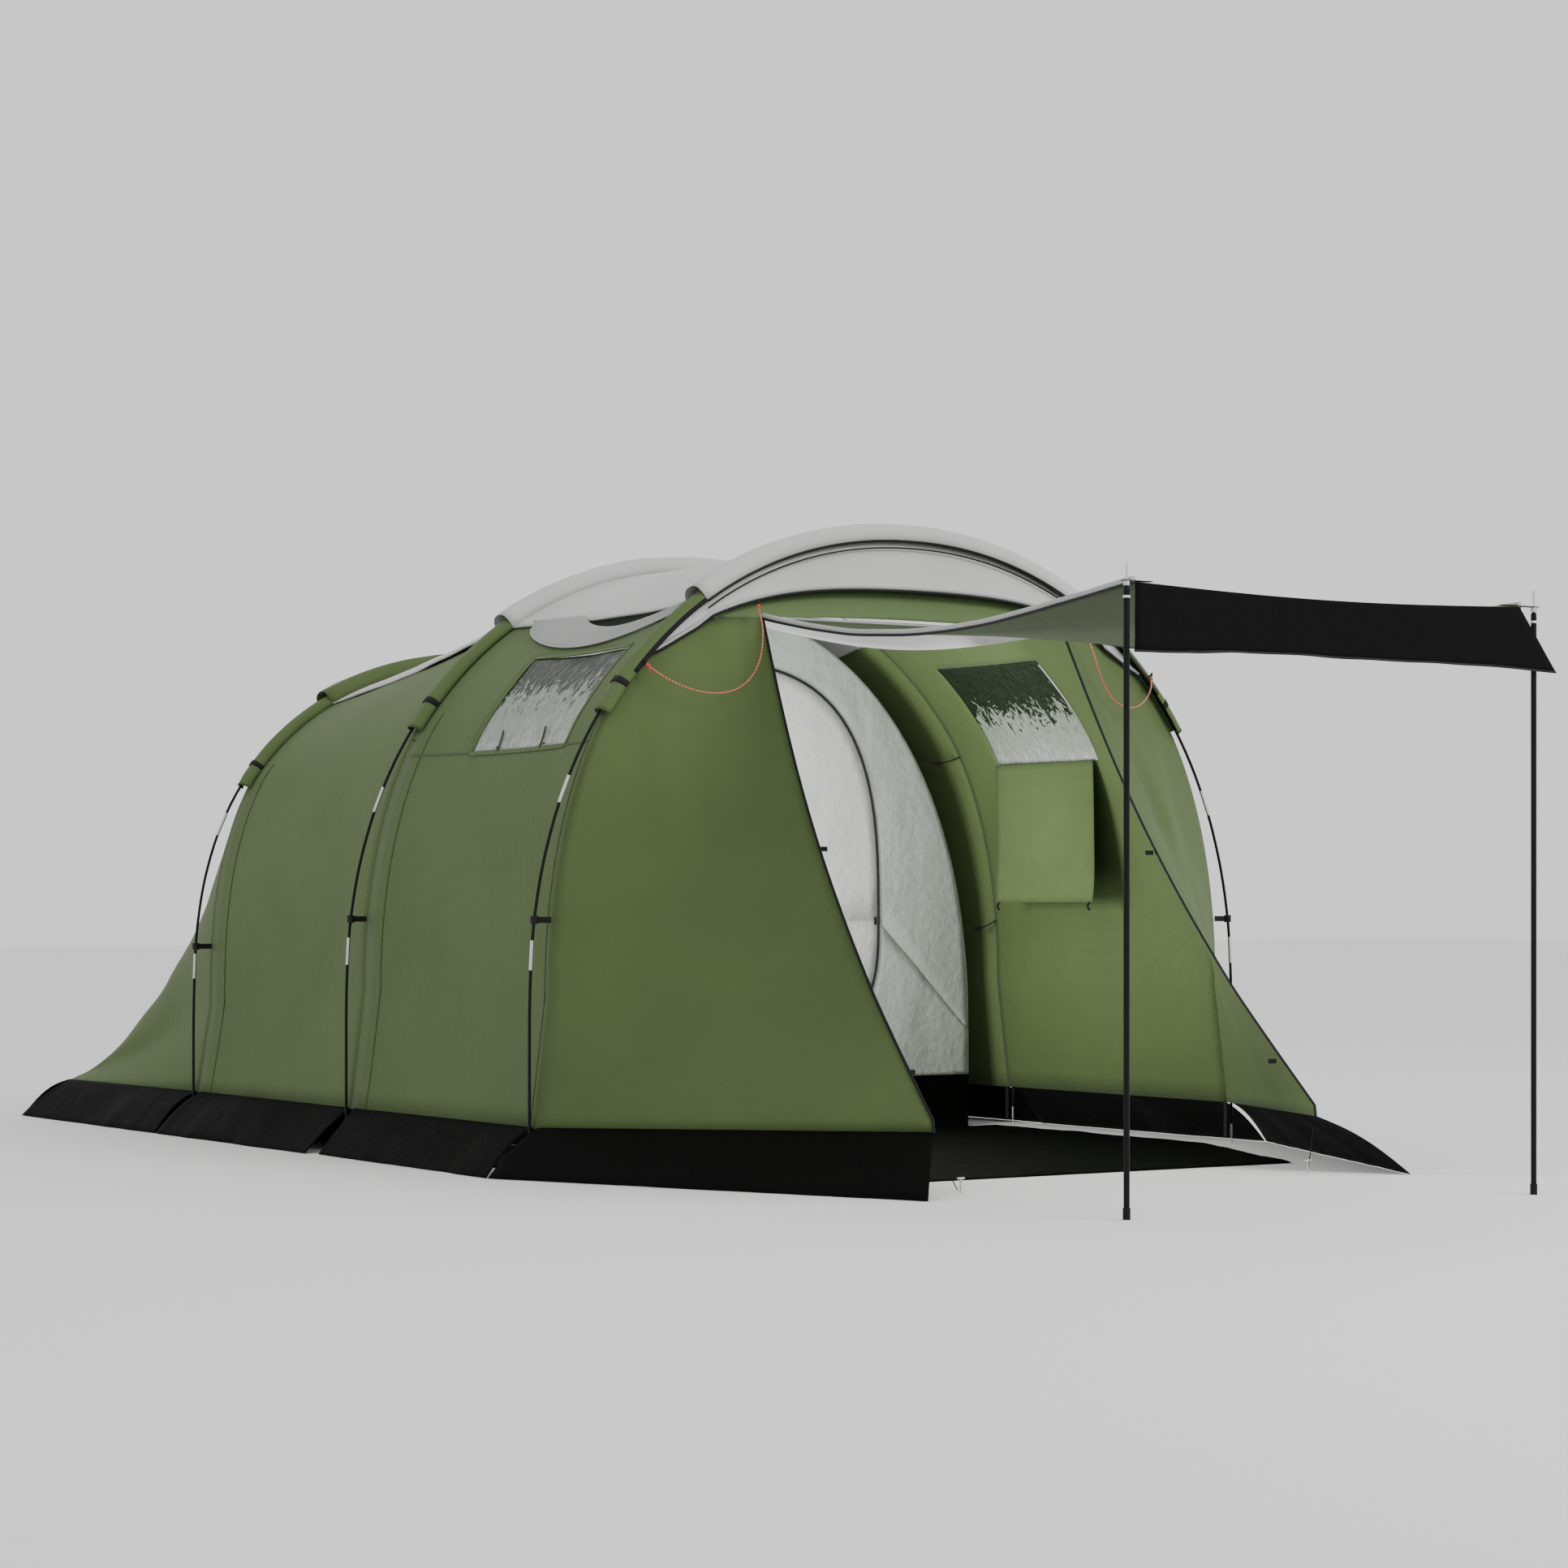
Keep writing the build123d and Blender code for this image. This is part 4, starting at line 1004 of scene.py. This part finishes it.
HOOK_HEIGHTS = (0.72, 1.318)
for side, sign in (("right", 1), ("left", -1)):
    for number, height in enumerate(HOOK_HEIGHTS):
        y, spring, rise, power = INNER_SECTIONS[0]
        angle = math.degrees(math.asin(((height - spring) / rise) ** (power / 2)))
        x_inner = inner_profile(INNER_SECTIONS[0], angle)[0]
        x_fly = fly_profile("middle", angle_at(height, "middle"))[0] - 0.010
        near = Vector((sign * (x_inner + 0.004), y - 0.012, height))
        far = Vector((sign * x_fly, y - 0.030, height + 0.03))
        points = [near.lerp(far, t) - Vector((0, 0, 0.012 * math.sin(math.pi * t))) for t in spread(0, 1, 10)]
        trim(tube(f"bedroom_{side}_hanger_{number}_loop", points, 0.0025, "webbing"))
        trim(tube(f"bedroom_{side}_hanger_{number}_toggle", points[3:6], 0.0075, "plastic"))


# ---------------------------------------------------------------- groundsheet and curtains
MAT_OUTLINE = ((-1.640, 0.900), (-0.785, 1.268), (0.390, 1.268))


def mat_surface(across, y):
    """Porch groundsheet lying on the ground with soft creases."""
    for (y_a, half_a), (y_b, half_b) in zip(MAT_OUTLINE, MAT_OUTLINE[1:]):
        if y <= y_b:
            break
    half = half_a + (half_b - half_a) * (y - y_a) / (y_b - y_a)
    crease = abs(ripple((across * half, y, 0), 0.006, (2, 2, 1), 12.0))
    return across * half, y, 0.0015 + crease


us, vs = spread(-1, 1, 50), spread(MAT_OUTLINE[0][0], MAT_OUTLINE[2][0], 50)
mat = grid("porch_groundsheet_cloth", mat_surface, us, vs, "mat")
cloth(mat, mat_surface, us, vs, replaces=["porch_groundsheet"])


def curtain_pieces(side):
    """Curtain hanging below a window, with a tie at each lower corner."""
    sign = -1 if side == "left" else 1
    low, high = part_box(f"{side}_curtain")
    x_hang = (low[0] + high[0]) / 2

    def surface(along, down):
        y = mix(low[1], high[1], along)
        wave = ripple((0, y * 2, down), 0.010, seed=14.0) * down
        x = x_hang + sign * (0.004 * math.sin(math.pi * down) + wave)
        return x, y, mix(high[2], low[2], down)

    us, vs = spread(0, 1, 24), spread(0, 1, 20)
    flap = grid(f"{side}_curtain_cloth", surface, us, vs, "green")
    cloth(flap, surface, us, vs, f"{side}_flap", [f"{side}_curtain"])
    for label, along in (("front", 0.03), ("rear", 0.96)):
        start = Vector(surface(along, 1.0))
        points = [start + Vector((0, 0.012 * math.sin(3 * t), -0.026 * t)) for t in spread(0, 1, 6)]
        trim(tube(f"{side}_curtain_{label}_tie", points, 0.004, "webbing"), f"{side}_flap")


for side in ("left", "right"):
    curtain_pieces(side)


# ---------------------------------------------------------------- guy lines
GUY_ROUTES = {
    "left": (
        (-0.612, -0.925, 1.722), (-0.622, -0.950, 1.690), (-0.627, -0.975, 1.650), (-0.636, -0.988, 1.605),
        (-0.650, -1.000, 1.556), (-0.675, -1.006, 1.508), (-0.712, -1.004, 1.468), (-0.760, -0.996, 1.445),
        (-0.812, -0.982, 1.440), (-0.864, -0.962, 1.449), (-0.912, -0.934, 1.470), (-0.952, -0.900, 1.500),
        (-0.976, -0.866, 1.530),
    ),
    "right": (
        (0.615, -0.925, 1.716), (0.634, -0.948, 1.680), (0.644, -0.970, 1.635), (0.650, -0.984, 1.588),
        (0.660, -0.995, 1.538), (0.684, -1.002, 1.490), (0.724, -1.000, 1.458), (0.776, -0.990, 1.446),
        (0.828, -0.974, 1.452), (0.876, -0.952, 1.474), (0.920, -0.922, 1.502), (0.956, -0.888, 1.530),
        (0.975, -0.862, 1.562),
    ),
}
CORD_D = 0.004
YARN_PITCH = 0.011
YARN_STEP = 0.0012
KNOT_TURNS = 2.5
KNOT_RADIUS = 0.0042


def knot(name, end, inner):
    """Two turns of cord round a line's end and a short tail."""
    run = (Vector(inner) - Vector(end)).normalized()
    across = run.cross(Vector((0, 1, 0))).normalized()
    other = run.cross(across)
    points = []
    for t in spread(0, 1, 40):
        turn = 2 * math.pi * KNOT_TURNS * t
        around = (across * math.cos(turn) + other * math.sin(turn)) * KNOT_RADIUS
        points.append(Vector(end) + run * (0.004 + 0.010 * t) + around)
    last = points[-1]
    points += [last + across * out - Vector((0, 0, drop)) for out, drop in ((0.006, 0.010), (0.008, 0.024))]
    return tube(name, points, 0.0019, "cord")


def guy_line(side):
    """Orange cord on its route, with a white yarn wound round it."""
    route = GUY_ROUTES[side]
    rope = tube(f"{side}_guy_line_cord", route, 0.0, "cord", kind="NURBS")
    spline = rope.data.splines[0]
    spline.order_u = 3
    spline.use_endpoint_u = True
    spline.resolution_u = 12
    line = [vertex.co.copy() for vertex in bpy.data.meshes.new_from_object(rope).vertices]
    rope.data.bevel_depth = CORD_D / 2
    yarn = []
    travelled = 0.0
    for before, after in zip(line, line[1:]):
        step = after - before
        pieces = max(1, int(step.length / YARN_STEP))
        across = step.cross(Vector((0, 1, 0))).normalized()
        other = step.cross(across).normalized()
        for i in range(pieces):
            turn = 2 * math.pi * (travelled + step.length * i / pieces) / YARN_PITCH
            around = (across * math.cos(turn) + other * math.sin(turn)) * CORD_D * 0.42
            yarn.append(before + step * i / pieces + around)
        travelled += step.length
    winding = tube(f"{side}_guy_line_yarn", yarn, 0.00065, "cord_white")
    knots = [
        knot(f"{side}_guy_line_upper_knot", line[0], line[8]),
        knot(f"{side}_guy_line_lower_knot", line[-1], line[-9]),
    ]
    for piece in (rope, winding, *knots):
        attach(piece, "tent")
    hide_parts(f"{side}_guy_line")


for side in ("left", "right"):
    guy_line(side)


# ---------------------------------------------------------------- floor and light
floor_mesh = bpy.data.meshes.new("floor")
floor_mesh.from_pydata([(-60, -60, 0), (60, -60, 0), (60, 60, 0), (-60, 60, 0)], [], [(0, 1, 2, 3)])
floor = link("floor", floor_mesh, "white")
floor_material, _, floor_shader = new_material("pale_floor")
settings(floor_shader, {"Base Color": (0.86, 0.86, 0.86, 1), "Roughness": 0.9})
floor.data.materials[0] = floor_material

world = bpy.data.worlds.new("studio")
bpy.context.scene.world = world
world.use_nodes = True
settings(world.node_tree.nodes["Background"], {"Color": (1.0, 1.0, 1.0, 1), "Strength": 1.08})


def area_light(name, place, target, size, power):
    """Soft square light aimed at a point."""
    light = bpy.data.lights.new(name, "AREA")
    light.size = size
    light.energy = power
    lamp = add_object(name, light)
    lamp.location = place
    lamp.visible_camera = False
    lamp.rotation_euler = (Vector(target) - Vector(place)).to_track_quat("-Z", "Y").to_euler()


area_light("key", (3.0, -9.0, 7.5), (0, -0.5, 0.8), 4.0, 560)
area_light("porch_glow", (-0.90, -0.36, 0.85), (1.3, -0.42, 0.75), 0.66, 50)
area_light("bedroom_glow", (0.55, -0.75, 1.25), (-0.35, 0.45, 0.85), 0.7, 10)
area_light("floor_glow", (0.0, -0.5, 0.45), (0.4, -0.4, 1.9), 1.2, 8)
